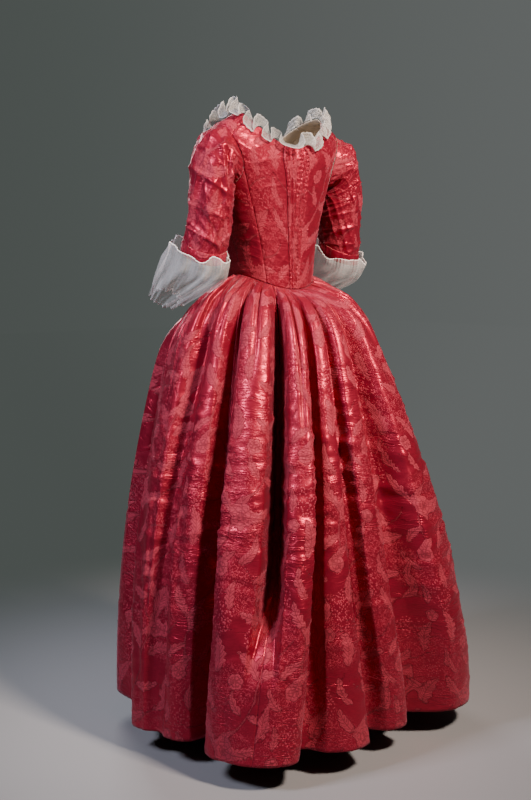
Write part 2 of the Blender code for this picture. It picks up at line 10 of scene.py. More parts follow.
import bpy
import numpy as np
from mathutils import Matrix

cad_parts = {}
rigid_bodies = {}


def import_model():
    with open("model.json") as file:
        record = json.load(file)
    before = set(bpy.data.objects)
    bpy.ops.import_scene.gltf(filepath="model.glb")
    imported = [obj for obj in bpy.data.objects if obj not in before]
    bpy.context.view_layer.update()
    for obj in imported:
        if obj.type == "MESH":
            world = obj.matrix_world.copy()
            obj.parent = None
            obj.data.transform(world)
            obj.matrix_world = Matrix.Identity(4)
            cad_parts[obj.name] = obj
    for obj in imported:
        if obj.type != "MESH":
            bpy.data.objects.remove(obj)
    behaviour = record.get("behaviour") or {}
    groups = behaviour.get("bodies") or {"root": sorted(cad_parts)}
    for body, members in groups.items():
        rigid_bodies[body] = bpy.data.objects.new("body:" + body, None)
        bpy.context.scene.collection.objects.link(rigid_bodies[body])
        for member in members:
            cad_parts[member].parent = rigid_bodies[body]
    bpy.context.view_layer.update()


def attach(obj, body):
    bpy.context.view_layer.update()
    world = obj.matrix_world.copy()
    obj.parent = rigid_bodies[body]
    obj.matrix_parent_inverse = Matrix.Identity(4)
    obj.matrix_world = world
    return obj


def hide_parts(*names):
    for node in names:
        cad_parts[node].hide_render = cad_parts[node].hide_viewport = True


for old in list(bpy.data.objects):
    bpy.data.objects.remove(old, do_unlink=True)
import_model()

# %% [markdown]
# ## Camera, floor and light
# The gown stands on an unseen form, its hem six centimetres over the floor.
# A real studio would hang a paper sweep; here a floor that fades into the backdrop's grey does the
# same from every side. A warm box from the right and a cool one from the left colour the satin; a
# weak one on the far side keeps the wearer's front from going black.

# %% Camera, floor and light
SHOULDER = 1.320                   # height of the frame's origin over the hem
HEM_ABOVE_FLOOR = 0.057
CAMERA_TURN = math.radians(40.0)   # from the wearer's back towards the wearer's left
CAMERA_REACH = 2.83
CAMERA_HEIGHT = 1.003 - SHOULDER
CAMERA_PITCH = 6.44                # degrees that it looks down
CAMERA_LENS, SENSOR_HEIGHT = 55.8, 36
BACKDROP = ((0.074, 0.086, 0.080), (0.125, 0.134, 0.131))    # at the left and at the right of the view
SPREAD = 0.27                      # sine of the angle over which the backdrop goes from one to the other
FILL = 0.08                        # how much of the backdrop's grey reaches the cloth from all round
FLOOR, FLOOR_ROUGHNESS, FLOOR_REACH = (0.25, 0.26, 0.27), 0.6, 14.0
FLOOR_FADE = (0.35, 1.7)           # distances from the gown's middle over which floor becomes backdrop
# name, place to the camera's right, towards it and above the shoulder, size, power, colour
LIGHTS = (
    ("warm box", 1.5, 1.7, 1.5, 0.45, 60, (1.0, 0.80, 0.68)),
    ("cool box", -1.9, 1.6, 1.3, 0.7, 30, (0.86, 0.84, 1.0)),
    ("far box", -0.9, -2.4, 0.4, 0.9, 9, (0.95, 0.97, 1.0)),
)
LIGHT_AIM, LIGHT_SPREAD = -0.36, math.radians(90)
TOWARDS_CAMERA = np.array([math.sin(CAMERA_TURN), math.cos(CAMERA_TURN), 0.0])
CAMERA_RIGHT = np.array([-math.cos(CAMERA_TURN), math.sin(CAMERA_TURN), 0.0])
UP, LEVEL = np.array([0.0, 0.0, 1.0]), np.array([1.0, 1.0, 0.0])


def feed(tree, sockets, values):
    """Gives each socket its number, triple or colour, or a link from the socket given in its place."""
    for socket, value in zip(sockets, values):
        if isinstance(value, bpy.types.NodeSocket):
            tree.links.new(value, socket)
        elif socket.type == "RGBA":
            socket.default_value = (*value, 1)
        else:
            socket.default_value = value


def set_inputs(tree, made, values):
    """Feeds a node's inputs by name, where _ stands for a space."""
    feed(tree, [made.inputs[name.replace("_", " ")] for name in values], values.values())


def node(tree, kind, **inputs):
    """A shader node with the named inputs fed."""
    made = tree.nodes.new(kind)
    set_inputs(tree, made, inputs)
    return made


def math_node(tree, operation, *values):
    """A math node whose inputs are numbers or sockets; returns its output."""
    made = tree.nodes.new("ShaderNodeMath")
    made.operation = operation
    feed(tree, made.inputs, values)
    return made.outputs[0]


def chained(tree, operation, first, *others):
    """A product, sum or maximum of several numbers or sockets, taken two at a time."""
    for other in others:
        first = math_node(tree, operation, first, other)
    return first


def vector_node(tree, operation, *values):
    """A vector math node; returns its vector, or its number where the operation gives one."""
    made = tree.nodes.new("ShaderNodeVectorMath")
    made.operation = operation
    feed(tree, made.inputs, values)
    return made.outputs["Value" if operation in ("DOT_PRODUCT", "LENGTH") else "Vector"]


def ramp(tree, value, start, end, low=0.0, high=1.0):
    """A smooth step from low at start to high at end."""
    made = tree.nodes.new("ShaderNodeMapRange")
    made.interpolation_type = "SMOOTHSTEP"
    feed(tree, made.inputs, (value, start, end, low, high))
    return made.outputs[0]


def mixed(tree, factor, first, second, blend="MIX"):
    """Colour mix; each colour is a triple or a socket, the factor a number or a socket."""
    made = tree.nodes.new("ShaderNodeMix")
    made.data_type, made.blend_type = "RGBA", blend
    feed(tree, (made.inputs[0], made.inputs[6], made.inputs[7]), (factor, first, second))
    return made.outputs[2]


def new_material(name, **values):
    """A material with values on its Principled BSDF; returns it, its node tree and that shader."""
    material = bpy.data.materials.new(name)
    material.use_nodes = True
    shader = material.node_tree.nodes["Principled BSDF"]
    set_inputs(material.node_tree, shader, values)
    return material, material.node_tree, shader


def placed(name, data):
    """A new object in the scene for a mesh, a light or a camera."""
    made = bpy.data.objects.new(name, data)
    bpy.context.scene.collection.objects.link(made)
    return made


def backdrop_colour(tree, way):
    """The grey of the studio wall along a direction, lighter towards the camera's right."""
    across = vector_node(tree, "DOT_PRODUCT", way, CAMERA_RIGHT)
    return mixed(tree, ramp(tree, across, -SPREAD, SPREAD), *BACKDROP)


def make_floor():
    """A wide square under the gown: a matt floor near it that glows like the backdrop farther out."""
    mesh = bpy.data.meshes.new("floor")
    x, z = FLOOR_REACH, -SHOULDER - HEM_ABOVE_FLOOR
    mesh.from_pydata([(-x, -x, z), (x, -x, z), (x, x, z), (-x, x, z)], [], [(0, 1, 2, 3)])
    material, tree, shader = new_material("floor", Base_Color=FLOOR, Roughness=FLOOR_ROUGHNESS)
    place = tree.nodes.new("ShaderNodeTexCoord").outputs["Object"]
    way = vector_node(tree, "NORMALIZE", place)
    glow = node(tree, "ShaderNodeEmission", Color=backdrop_colour(tree, way))
    far = vector_node(tree, "LENGTH", vector_node(tree, "MULTIPLY", place, LEVEL))
    mix = tree.nodes.new("ShaderNodeMixShader")
    feed(tree, mix.inputs, (ramp(tree, far, *FLOOR_FADE), shader.outputs[0], glow.outputs[0]))
    tree.links.new(mix.outputs[0], tree.nodes["Material Output"].inputs["Surface"])
    mesh.materials.append(material)
    return placed("floor", mesh)


def make_light(name, right, towards, up, size, power, colour):
    """A square soft box, turned so that its -Z axis runs from its place to the aim."""
    data = bpy.data.lights.new(name, "AREA")
    data.size, data.energy, data.color, data.spread = size, power, colour, LIGHT_SPREAD
    light = placed(name, data)
    light.location = CAMERA_RIGHT * right + TOWARDS_CAMERA * towards + UP * up
    x, y, z = UP * LIGHT_AIM - np.array(light.location)
    light.rotation_euler = (math.atan2(math.hypot(x, y), -z), 0, math.atan2(y, x) - math.pi / 2)
    return light


def make_camera():
    """The photograph's camera: it looks at the gown's axis, pitched down."""
    data = bpy.data.cameras.new("photo camera")
    data.sensor_fit, data.sensor_height, data.lens = "VERTICAL", SENSOR_HEIGHT, CAMERA_LENS
    camera = placed("photo camera", data)
    camera.location = TOWARDS_CAMERA * CAMERA_REACH + UP * CAMERA_HEIGHT
    camera.rotation_euler = (math.radians(90 - CAMERA_PITCH), 0, math.pi - CAMERA_TURN)
    return camera


def make_world():
    """The backdrop as the camera sees it, dimmed to a faint fill for every other ray."""
    world = bpy.data.worlds.new("studio")
    world.use_nodes = True
    tree = world.node_tree
    way = tree.nodes.new("ShaderNodeTexCoord").outputs["Generated"]
    seen = tree.nodes.new("ShaderNodeLightPath").outputs["Is Camera Ray"]
    feed(tree, tree.nodes["Background"].inputs, (backdrop_colour(tree, way), ramp(tree, seen, 0, 1, FILL, 1)))
    return world


bpy.context.scene.camera = make_camera()
make_floor()
[make_light(*row) for row in LIGHTS]
bpy.context.scene.world = make_world()
print("camera", np.round(bpy.context.scene.camera.location, 3).tolist(), "lights", len(LIGHTS))

# %% [markdown]
# ## Curves and grids
# Every piece of cloth is one grid of points: rows run up it and columns run round it.
# The same few formulas as in the CAD part give the form, read here at many more places.

# %% Curves and grids
FINE = 2
SIDES = (("left", 0), ("right", 1))


def smooth(knots, values, at):
    """Cubic through values[k] at knots[k], with slopes from their neighbours; values may be arrays."""
    knots, values, at = (np.asarray(a, float) for a in (knots, values, at))
    slopes = np.gradient(values, knots, axis=0)
    left = np.clip(np.searchsorted(knots, at, side="right") - 1, 0, len(knots) - 2)
    shape = at.shape + (1,) * (values.ndim - 1)
    span = (knots[left + 1] - knots[left]).reshape(shape)
    t = (at - knots[left]).reshape(shape) / span
    rise = (1 + 2 * t) * (1 - t) ** 2 * values[left] + t * t * (3 - 2 * t) * values[left + 1]
    return rise + span * (t * (1 - t) ** 2 * slopes[left] - t * t * (1 - t) * slopes[left + 1])


def eased(t):
    """From 0 to 1 with no slope at either end: t^2 (3 - 2 t)."""
    return t * t * (3 - 2 * t)


def unit(vectors):
    """Each vector divided by its length."""
    return vectors / np.maximum(np.linalg.norm(vectors, axis=-1, keepdims=True), 1e-9)


def normals(grid, closed=False):
    """Outward directions: (slope round the figure) x (slope up the cloth)."""
    if closed:
        round_way = np.roll(grid, -1, axis=1) - np.roll(grid, 1, axis=1)
    else:
        round_way = np.gradient(grid, axis=1)
    return unit(np.cross(round_way, np.gradient(grid, axis=0)))


def lengths(grid, axis, closed=False):
    """Arc length from the first row or column to each point of the grid."""
    if closed:
        grid = np.concatenate([grid, grid[:, :1]], axis=1)
    steps = np.linalg.norm(np.diff(grid, axis=axis), axis=-1)
    return np.concatenate([np.zeros_like(np.take(steps, [0], axis)), np.cumsum(steps, axis)], axis)


def on_side(grid, side):
    """The left piece's grid, or its mirror image with the columns turned round."""
    return grid if side == "left" else grid[:, ::-1] * np.array([-1.0, 1.0, 1.0])


def bump(distance, width):
    """Soft ridge: exp(-(distance / width)^2)."""
    return np.exp(-(distance / width) ** 2)


# A crumple's ridges: waves a metre across and up, phase, bend, height as a share
CRUMPLE = ((11, 17, 0.3, 1.7, 1.0), (-19, 13, 1.9, 1.4, 0.8), (6, -29, 4.1, 1.9, 0.9),
           (31, 21, 2.6, 1.3, 0.55), (-9, 47, 5.2, 1.8, 0.6), (27, -38, 0.9, 1.2, 0.45))


def crumple(u, v, scale=1.0, turn=0.0):
    """Sharp thin ridges on places in metres: sum of h ((1 - |sin(pi (a u + b v) + bend)|)^4 - 0.2)."""
    field = np.zeros(np.broadcast(u, v).shape)
    for across, up, phase, bend, height in CRUMPLE:
        way = np.pi * scale * (across * u + up * v) + phase + turn
        way = way + bend * np.sin(scale * (19.0 * v - 0.7 * across * u) + 2 * phase + turn)
        field += height * ((1 - np.abs(np.sin(way))) ** 4 - 0.2)
    return field


def ends_faded(share, foot, head):
    """1 along a piece, less towards its two ends: straight over the given shares of its length."""
    return np.clip(share / foot, 0, 1) * np.clip((1 - share) / head, 0, 1)


def column(table, place):
    """One column of a table of rows, as an array."""
    return np.array([row[place] for row in table], float)


# Bodice rings from waist to neckline: level, half width, y at side, back, front, height there
RINGS = (
    (0.00, 0.098, 0.018, 0.100, -0.078, 0.972, 0.939, 0.917),
    (0.22, 0.105, 0.020, 0.101, -0.100, 1.037, 1.011, 0.991),
    (0.42, 0.121, 0.024, 0.104, -0.128, 1.100, 1.090, 1.066),
    (0.62, 0.141, 0.031, 0.108, -0.143, 1.174, 1.164, 1.128),
    (0.84, 0.163, 0.042, 0.108, -0.145, 1.283, 1.222, 1.172),
    (1.00, 0.112, 0.045, 0.101, -0.135, 1.320, 1.247, 1.200),
)
RING_SQUARENESS = 2.3


def torso(angle, level):
    """Bodice surface: superellipse |c|^n + |s|^n = 1 at each level, in degrees from the left side."""
    level = np.clip(level, 0.0, 1.0)
    half, side_y, back_y, front_y, side_h, back_h, front_h = (
        smooth(column(RINGS, 0), column(RINGS, k), level) for k in range(1, 8))
    c, s = np.cos(np.radians(angle)), np.sin(np.radians(angle))
    square = (np.abs(c) ** RING_SQUARENESS + np.abs(s) ** RING_SQUARENESS) ** (-1 / RING_SQUARENESS)
    reach = np.where(s > 0, back_y - side_y, side_y - front_y)
    drop = np.where(s > 0, back_h, front_h) - side_h
    return np.stack([half * c * square, side_y + reach * s * square,
                     side_h + drop * s * s - SHOULDER], axis=-1)


def torso_normals(angle, level, step=0.5):
    """Outward directions from steps of half a degree and half a hundredth of the height."""
    low, high = np.clip(level - step / 100, 0, 1), np.clip(level + step / 100, 0, 1)
    return unit(np.cross(torso(angle + step, level) - torso(angle - step, level),
                         torso(angle, high) - torso(angle, low)))


print("waist half width", RINGS[0][1], "m, cloth fineness", FINE)

# %% [markdown]
# ## The damask's figures
# On the loom the satin ground turns to a duller face wherever the design lifts the warp, so leaves
# and flowers show tone on tone. The repeat here is a common meandering stem with leaves, open
# blossoms, ears and berries, charted as a short table in units of 0.8 mm.
# Each point of the cloth keeps its distance to the nearest edge, and the material cuts that
# distance at zero: the edges stay crisp however coarse the grid is.

# %% The damask's figures
REPEAT_W, REPEAT_H = 270.0, 600.0       # one repeat as charted, each column half a repeat up
CHART_SCALE = 0.80                      # millimetres of cloth to a unit of the chart
# kind, x, y, angle, length, width, bend, count of lobes, barbs or petals
MOTIFS = (
    ("stem", 52, 62, 78, 150, 6, 16, 0),
    ("stem", 100, 190, 55, 150, 6, -14, 0),
    ("stem", 165, 300, 70, 140, 6, 14, 0),
    ("stem", 160, 420, 118, 150, 6, 16, 0),
    ("stem", 92, 540, 120, 140, 6, -14, 0),
    ("stem", 190, 118, 25, 110, 5, 16, 0),
    ("stem", 50, 262, 140, 100, 5, 12, 0),
    ("stem", 238, 372, 35, 90, 5, -12, 0),
    ("stem", 60, 430, 165, 110, 5, 16, 0),
    ("stem", 205, 540, 40, 110, 5, 16, 0),
    ("stem", 150, 20, 200, 90, 5, -14, 0),
    ("leaf", 14, 160, 118, 86, 30, 8, 3),
    ("leaf", 128, 118, 18, 78, 26, -8, 3),
    ("leaf", 92, 232, 118, 70, 24, 7, 2),
    ("leaf", 164, 205, 8, 82, 28, -8, 3),
    ("leaf", 206, 300, 22, 84, 32, 8, 3),
    ("leaf", 112, 330, 132, 92, 34, -9, 4),
    ("leaf", 212, 440, 58, 110, 44, 12, 5),
    ("leaf", 118, 452, 168, 84, 30, 8, 3),
    ("leaf", 24, 352, 96, 104, 40, -12, 4),
    ("leaf", 60, 500, 84, 80, 28, 8, 3),
    ("leaf", 148, 560, 30, 86, 30, -8, 3),
    ("leaf", 232, 20, 70, 96, 36, 10, 4),
    ("leaf", 250, 150, 92, 66, 22, -6, 2),
    ("leaf", 8, 20, 40, 70, 26, 6, 3),
    ("ear", 232, 196, 82, 100, 30, 12, 9),
    ("ear", 212, 170, 58, 84, 26, -14, 8),
    ("ear", 20, 240, 108, 90, 28, 14, 8),
    ("ear", 244, 250, 122, 74, 24, 10, 7),
    ("ear", 92, 20, 62, 92, 28, -12, 9),
    ("ear", 176, 486, 96, 96, 30, 14, 9),
    ("berries", 40, 450, 78, 120, 74, 10, 0),
    ("berries", 190, 60, 20, 92, 58, -8, 0),
    ("berries", 128, 396, 60, 84, 46, 8, 0),
    ("berries", 240, 512, 100, 96, 50, 8, 0),
    ("leaf", 66, 120, 62, 96, 34, 10, 5),
    ("leaf", 44, 96, 128, 88, 30, -10, 5),
    ("leaf", 94, 88, 8, 80, 28, 8, 4),
    ("bloom", 66, 104, 12, 66, 0, 0, 7),
    ("bloom", 66, 104, 0, 22, 0, 0, 5),
    ("leaf", 188, 382, 84, 76, 26, 8, 4),
    ("leaf", 168, 344, 196, 70, 26, -8, 4),
    ("bloom", 188, 356, 20, 52, 0, 0, 6),
    ("bloom", 86, 286, 70, 44, 0, 0, 6),
    ("leaf", 34, 580, 52, 84, 30, 9, 4),
    ("bloom", 20, 566, 40, 48, 0, 0, 6),
    ("bloom", 256, 84, 0, 36, 0, 0, 5),
    ("bloom", 140, 510, 30, 34, 0, 0, 5),
)
FAR = 20.0                              # distances are kept only as far as this, in the chart's units
KEPT = ("edge", "line", "grain", "vein")


def nearest_copy(u, v, x, y):
    """Offset of each place from the nearest copy of (x, y) on the half-drop lattice."""
    du = u - x
    turns = np.round(du / REPEAT_W)
    dv = v - y - turns * REPEAT_H / 2
    return du - turns * REPEAT_W, dv - np.round(dv / REPEAT_H) * REPEAT_H


def blade(du, dv, kind, angle, length, width, bend, count):
    """Inside distance of a stem, leaf, ear or bunch, distance from its middle line, place along its veins.

    With t along it from 0 to 1, the middle line bows by bend * sin(pi t) and the half width is
    about width / 2 * sin(pi t^0.8)^0.8, cut by lobes or barbs |sin(pi (n t - |across| / width))|
    that lean towards the tip.
    """
    c, s = math.cos(math.radians(angle)), math.sin(math.radians(angle))
    along = (du * c + dv * s) / length + 0.5
    t = np.clip(along, 0.0, 1.0)
    across = dv * c - du * s - bend * np.sin(np.pi * t)
    if kind == "stem":
        half = width / 2 * (1 - 0.5 * t)
    elif kind == "leaf":
        lobes = np.abs(np.sin(np.pi * (1.5 * count * t - 0.9 * np.abs(across) / width))) ** 0.8
        half = width / 1.8 * np.sin(np.pi * t ** 0.8) ** 0.8 * (0.36 + 0.64 * lobes)
    elif kind == "ear":
        barbs = np.abs(np.sin(np.pi * (count * t - 1.6 * np.abs(across) / width))) ** 0.7
        half = width / 2 * np.sin(np.pi * t ** 0.7) ** 0.6 * (0.22 + 0.78 * barbs)
    else:
        half = width / 2 * np.sin(np.pi * t) ** 0.6
    beyond = np.abs(along - t) * length
    inside = np.where(beyond > 0, -np.hypot(beyond, across), half - np.abs(across))
    return inside, across, along * length - 1.3 * np.abs(across)


def bloom(du, dv, turn, size, petals):
    """Inside distance of an open flower r < size/2 * (0.76 + 0.24 |cos(n a / 2)|^0.6), petal lines, veins."""
    r = np.hypot(du, dv)
    a = (np.arctan2(dv, du) - math.radians(turn)) * petals / 2
    edge = size / 2 * (0.76 + 0.24 * np.abs(np.cos(a)) ** 0.6)
    return edge - r, r * np.cos(a) * 2 / petals, r * (1.15 - 0.3 * np.abs(np.cos(a)))


def damask(u, v):
    """Edge, middle-line and berry distance and place along the veins at (u, v), all in millimetres."""
    u, v = u / CHART_SCALE, v / CHART_SCALE
    edge, line, grain, vein = (np.full(u.shape, far) for far in (-FAR, FAR, -FAR, 0.0))
    for kind, x, y, angle, length, width, bend, count in MOTIFS:
        du, dv = nearest_copy(u, v, x, y)
        if kind == "bloom":
            inside, across, along = bloom(du, dv, angle, length, count)
        else:
            inside, across, along = blade(du, dv, kind, angle, length, width, bend, count)
        if kind == "berries":
            grain = np.maximum(grain, inside)
            continue
        top = (inside > 0) | (inside > edge)
        edge, line = np.where(top, inside, edge), np.where(top, across, line)
        vein = np.where(top, along, vein)
        grain = np.where(inside > 0, np.minimum(grain, -inside), grain)
    kept = [np.clip(a, -FAR, FAR) * CHART_SCALE for a in (edge, line, grain)]
    return [*kept, vein * CHART_SCALE]


print("motifs", len(MOTIFS), "repeat", REPEAT_W * CHART_SCALE, "x", REPEAT_H * CHART_SCALE, "mm")

# %% [markdown]
# ## Silk, lining, lawn and lace
# Satin is smooth floats of warp: it shines where light grazes the threads, while the figures are
# rougher and scatter it, so they look paler. Weft-wise crinkles run across worn silk. The effects
# are node groups, used by each of the materials with its own values.

# %% Silk, lining, lawn and lace
SATIN, SATIN_ROUGHNESS = (0.28, 0.012, 0.033), 0.34
FIGURE, FIGURE_ROUGHNESS = (0.33, 0.031, 0.055), 0.62
SHINE, SHINE_TINT = 0.30, (1.0, 0.48, 0.47)
SHEEN, SHEEN_TINT, SHEEN_ROUGHNESS = 0.18, (1.0, 0.36, 0.48), 0.35
GLEAM, FIGURE_GLEAM = 0.52, 0.06 # shares of the shine that take the silk's own red, on satin and figures
OUTLINE, OUTLINE_DEPTH = 0.52, 0.80   # colour of the threads round a figure as a share, and how full it is
RELIEF, FIGURE_RELIEF = 0.0008, 0.42  # height of a crinkle in metres, and of a figure as a share of it
VEIN_STEP = 8.0                  # millimetres from one vein of a leaf to the next
LINEN, HEM_TAPE, LINEN_TINT = (0.52, 0.44, 0.33), (0.62, 0.50, 0.28), (1.0, 0.95, 0.9)
WHITE, THREAD = (0.82, 0.81, 0.79), (0.50, 0.50, 0.48)
LAWN_COVER, LACE_COVER = (0.12, 0.22), (0.04, 0.55)    # how much open and close weave hide


def new_group(name, outputs, **amounts):
    """An empty node group on the cloth's places and some amounts, its start's and its end's sockets."""
    group = bpy.data.node_groups.new(name, "ShaderNodeTree")
    group.interface.new_socket(name="Cloth", in_out="INPUT", socket_type="NodeSocketVector")
    for label, value in amounts.items():
        socket = group.interface.new_socket(name=label, in_out="INPUT", socket_type="NodeSocketFloat")
        socket.default_value = value
    for label in outputs:
        group.interface.new_socket(name=label, in_out="OUTPUT", socket_type="NodeSocketFloat")
    return group, group.nodes.new("NodeGroupInput").outputs, group.nodes.new("NodeGroupOutput").inputs


def noise(tree, vector, scale, detail=2.0, distortion=0.0):
    """Soft noise from 0 to 1 over the vector."""
    return node(tree, "ShaderNodeTexNoise", Vector=vector, Scale=scale, Detail=detail,
                Distortion=distortion).outputs[0]


def kept_value(tree, name):
    """The number that the cloth keeps under this name at each of its points."""
    made = tree.nodes.new("ShaderNodeAttribute")
    made.attribute_name = name
    return made.outputs["Fac"]


def damask_group():
    """Figure, line and height masks from the distances kept on the cloth and small berries between."""
    group, start, end = new_group("damask", ("Figure", "Line", "Height"))
    cloth = start["Cloth"]
    edge, line, grain, vein = (kept_value(group, name) for name in KEPT)
    wobble = math_node(group, "MULTIPLY", math_node(group, "SUBTRACT", noise(group, cloth, 420.0), 0.5), 2.2)
    edge = math_node(group, "ADD", edge, wobble)
    figure = ramp(group, edge, -0.5, 0.5)
    outline = ramp(group, math_node(group, "ABSOLUTE", edge), 0.3, 1.6, 1.0, 0.0)
    middle = ramp(group, math_node(group, "ABSOLUTE", line), 0.4, 1.4, 1.0, 0.0)
    waves = math_node(group, "SINE", math_node(group, "MULTIPLY", vein, 2 * math.pi / VEIN_STEP))
    veins = chained(group, "MULTIPLY", figure, 0.85, ramp(group, waves, 0.35, 0.85))
    zone = ramp(group, grain, -1.0, 2.0)
    cells = node(group, "ShaderNodeTexVoronoi", Vector=cloth, Scale=210.0).outputs["Distance"]
    dots = math_node(group, "MULTIPLY", zone, ramp(group, cells, 0.30, 0.46, 1.0, 0.0))
    curls = ramp(group, noise(group, cloth, 150.0, 1.5, 2.2), 0.53, 0.60)
    where = ramp(group, noise(group, cloth, 8.0, 0.0), 0.38, 0.50)
    sprigs = chained(group, "MULTIPLY", curls, where, math_node(group, "SUBTRACT", 1.0, zone), 0.7)
    whole = chained(group, "MAXIMUM", figure, dots, sprigs)
    lines = chained(group, "MAXIMUM", outline, math_node(group, "MULTIPLY", figure, middle), veins)
    height = math_node(group, "SUBTRACT", whole, math_node(group, "MULTIPLY", lines, 0.8))
    feed(group, end, (whole, lines, height))
    return group


def crinkle_group():
    """Short creases across the cloth: thin ridges where a stretched noise passes its middle value."""
    group, start, end = new_group("crinkle", ("Height", "Slub"), Amount=1.0)

    def stretched(across, up, *more):
        """Noise whose cells are 1 / across wide and 1 / up high on the cloth."""
        return noise(group, vector_node(group, "MULTIPLY", start["Cloth"], (across, up, 1.0)), 1.0, *more)

    off_middle = math_node(group, "SUBTRACT", stretched(20.0, 95.0, 1.5, 0.9), 0.5)
    ridge = ramp(group, math_node(group, "ABSOLUTE", off_middle), 0.0, 0.14, 1.0, 0.0)
    patches = ramp(group, stretched(5.0, 9.0, 1.0), 0.42, 0.62)
    height = chained(group, "MULTIPLY", ridge, patches, start["Amount"])
    feed(group, end, (height, stretched(70.0, 900.0, 1.0)))
    return group


def lace_group():
    """Fine net of lace: threads where the cell edges run, patches of cloth stitch, a close edge."""
    group, start, end = new_group("lace", ("Thread",))
    cells = node(group, "ShaderNodeTexVoronoi", Vector=start["Cloth"], Scale=260.0)
    cells.feature = "DISTANCE_TO_EDGE"
    net = ramp(group, cells.outputs["Distance"], 0.04, 0.09, 1.0, 0.0)
    stitch = ramp(group, noise(group, start["Cloth"], 110.0, 1.0), 0.59, 0.63)
    rim = ramp(group, kept_value(group, "edge"), 0.0, 1.0)
    feed(group, end, [chained(group, "MAXIMUM", net, stitch, rim)])
    return group


GROUPS = {"damask": damask_group(), "crinkle": crinkle_group(), "lace": lace_group()}


def cloth_material(name, colour, sheen, sheen_tint, **values):
    """A material with the fuzz of cloth; returns it, its tree, its shader and the cloth's places."""
    parts = new_material(name, Base_Color=colour, Sheen_Weight=sheen, Sheen_Roughness=SHEEN_ROUGHNESS,
                         Sheen_Tint=sheen_tint, **values)
    cloth = parts[1].nodes.new("ShaderNodeUVMap")
    cloth.uv_map = "cloth"
    return *parts, cloth.outputs[0]


def use_group(tree, name, cloth, **values):
    """One of the groups as a node of a material; returns its outputs."""
    made = tree.nodes.new("ShaderNodeGroup")
    made.node_tree = GROUPS[name]
    set_inputs(tree, made, {"Cloth": cloth, **values})
    return made.outputs


def bumped(tree, height, distance):
    """A normal tilted by a height whose 1 stands for the distance."""
    return node(tree, "ShaderNodeBump", Strength=1.0, Distance=distance, Height=height).outputs[0]


def silk_material(name, crinkle, contrast):
    """Damask silk: satin ground, duller figures with darker edges, weft crinkles."""
    material, tree, shader, cloth = cloth_material(name, SATIN, SHEEN, SHEEN_TINT, Specular_IOR_Level=SHINE,
                                                   Specular_Tint=SHINE_TINT)
    figure, line, height = use_group(tree, "damask", cloth)
    folds, slub = use_group(tree, "crinkle", cloth, Amount=crinkle)
    colour = mixed(tree, math_node(tree, "MULTIPLY", figure, contrast), SATIN, FIGURE)
    dark = mixed(tree, 1.0, colour, (OUTLINE, OUTLINE, OUTLINE), "MULTIPLY")
    colour = mixed(tree, math_node(tree, "MULTIPLY", line, OUTLINE_DEPTH), colour, dark)
    tint = tree.nodes.new("ShaderNodeCombineColor")
    feed(tree, tint.inputs, [ramp(tree, slub, 0.25, 0.75, 0.86, 1.10)] * 3)
    total = math_node(tree, "ADD", math_node(tree, "MULTIPLY", height, FIGURE_RELIEF), folds)
    set_inputs(tree, shader, {
        "Base Color": mixed(tree, 1.0, colour, tint.outputs[0], "MULTIPLY"),
        "Roughness": ramp(tree, figure, 0.0, 1.0, SATIN_ROUGHNESS, FIGURE_ROUGHNESS),
        "Metallic": ramp(tree, figure, 0.0, 1.0, GLEAM, FIGURE_GLEAM),
        "Normal": bumped(tree, total, RELIEF)})
    return material


def linen_material():
    """Plain linen: only the slubs of its weave stand out."""
    material, tree, shader, cloth = cloth_material("linen lining", LINEN, 0.2, LINEN_TINT, Roughness=0.8)
    slub = use_group(tree, "crinkle", cloth, Amount=0.3)[1]
    set_inputs(tree, shader, {"Normal": bumped(tree, slub, 0.0003)})
    return material


def lawn_material():
    """Sheer white lawn: mostly open plain weave, opaque only at the rolled edge."""
    material, tree, shader, cloth = cloth_material("sheer lawn", WHITE, 0.35, (1, 1, 1), Roughness=0.75)
    folds, slub = use_group(tree, "crinkle", cloth, Amount=0.6)
    weave, rim = ramp(tree, slub, 0.2, 0.8, *LAWN_COVER), ramp(tree, kept_value(tree, "edge"), 0.0, 1.0)
    set_inputs(tree, shader, {"Alpha": math_node(tree, "MAXIMUM", weave, rim),
                              "Normal": bumped(tree, folds, 0.0006)})
    return material


def lace_material():
    """Cotton lace: thread where the net, the stitches and the rim are, air between."""
    material, tree, shader, cloth = cloth_material("lace", THREAD, 0.2, (1, 1, 1), Roughness=0.8)
    thread = use_group(tree, "lace", cloth)[0]
    set_inputs(tree, shader, {"Alpha": ramp(tree, thread, 0.0, 1.0, *LACE_COVER),
                              "Normal": bumped(tree, thread, 0.0003)})
    return material


SILK = silk_material("silk damask", 0.7, 1.0)
BODICE_SILK = silk_material("silk damask, fitted", 0.35, 0.75)
LINING, LAWN, LACE = linen_material(), lawn_material(), lace_material()
HEM = cloth_material("hem tape", HEM_TAPE, 0.2, LINEN_TINT, Roughness=0.8)[0]
print("materials", [made.name for made in (SILK, BODICE_SILK, LINING, LAWN, LACE, HEM)])

# %% [markdown]
# ## Laying the cloth
# Each piece is cut from the length, turned under at its edges and lined. Here a grid becomes a
# thin closed shell: the outer face on the CAD solid's form, the lining a millimetre or less under it.

# %% Laying the cloth
SILK_THICK, SLEEVE_THICK, LAWN_THICK, LACE_THICK = 0.0010, 0.0008, 0.0005, 0.0004
LAID = {}


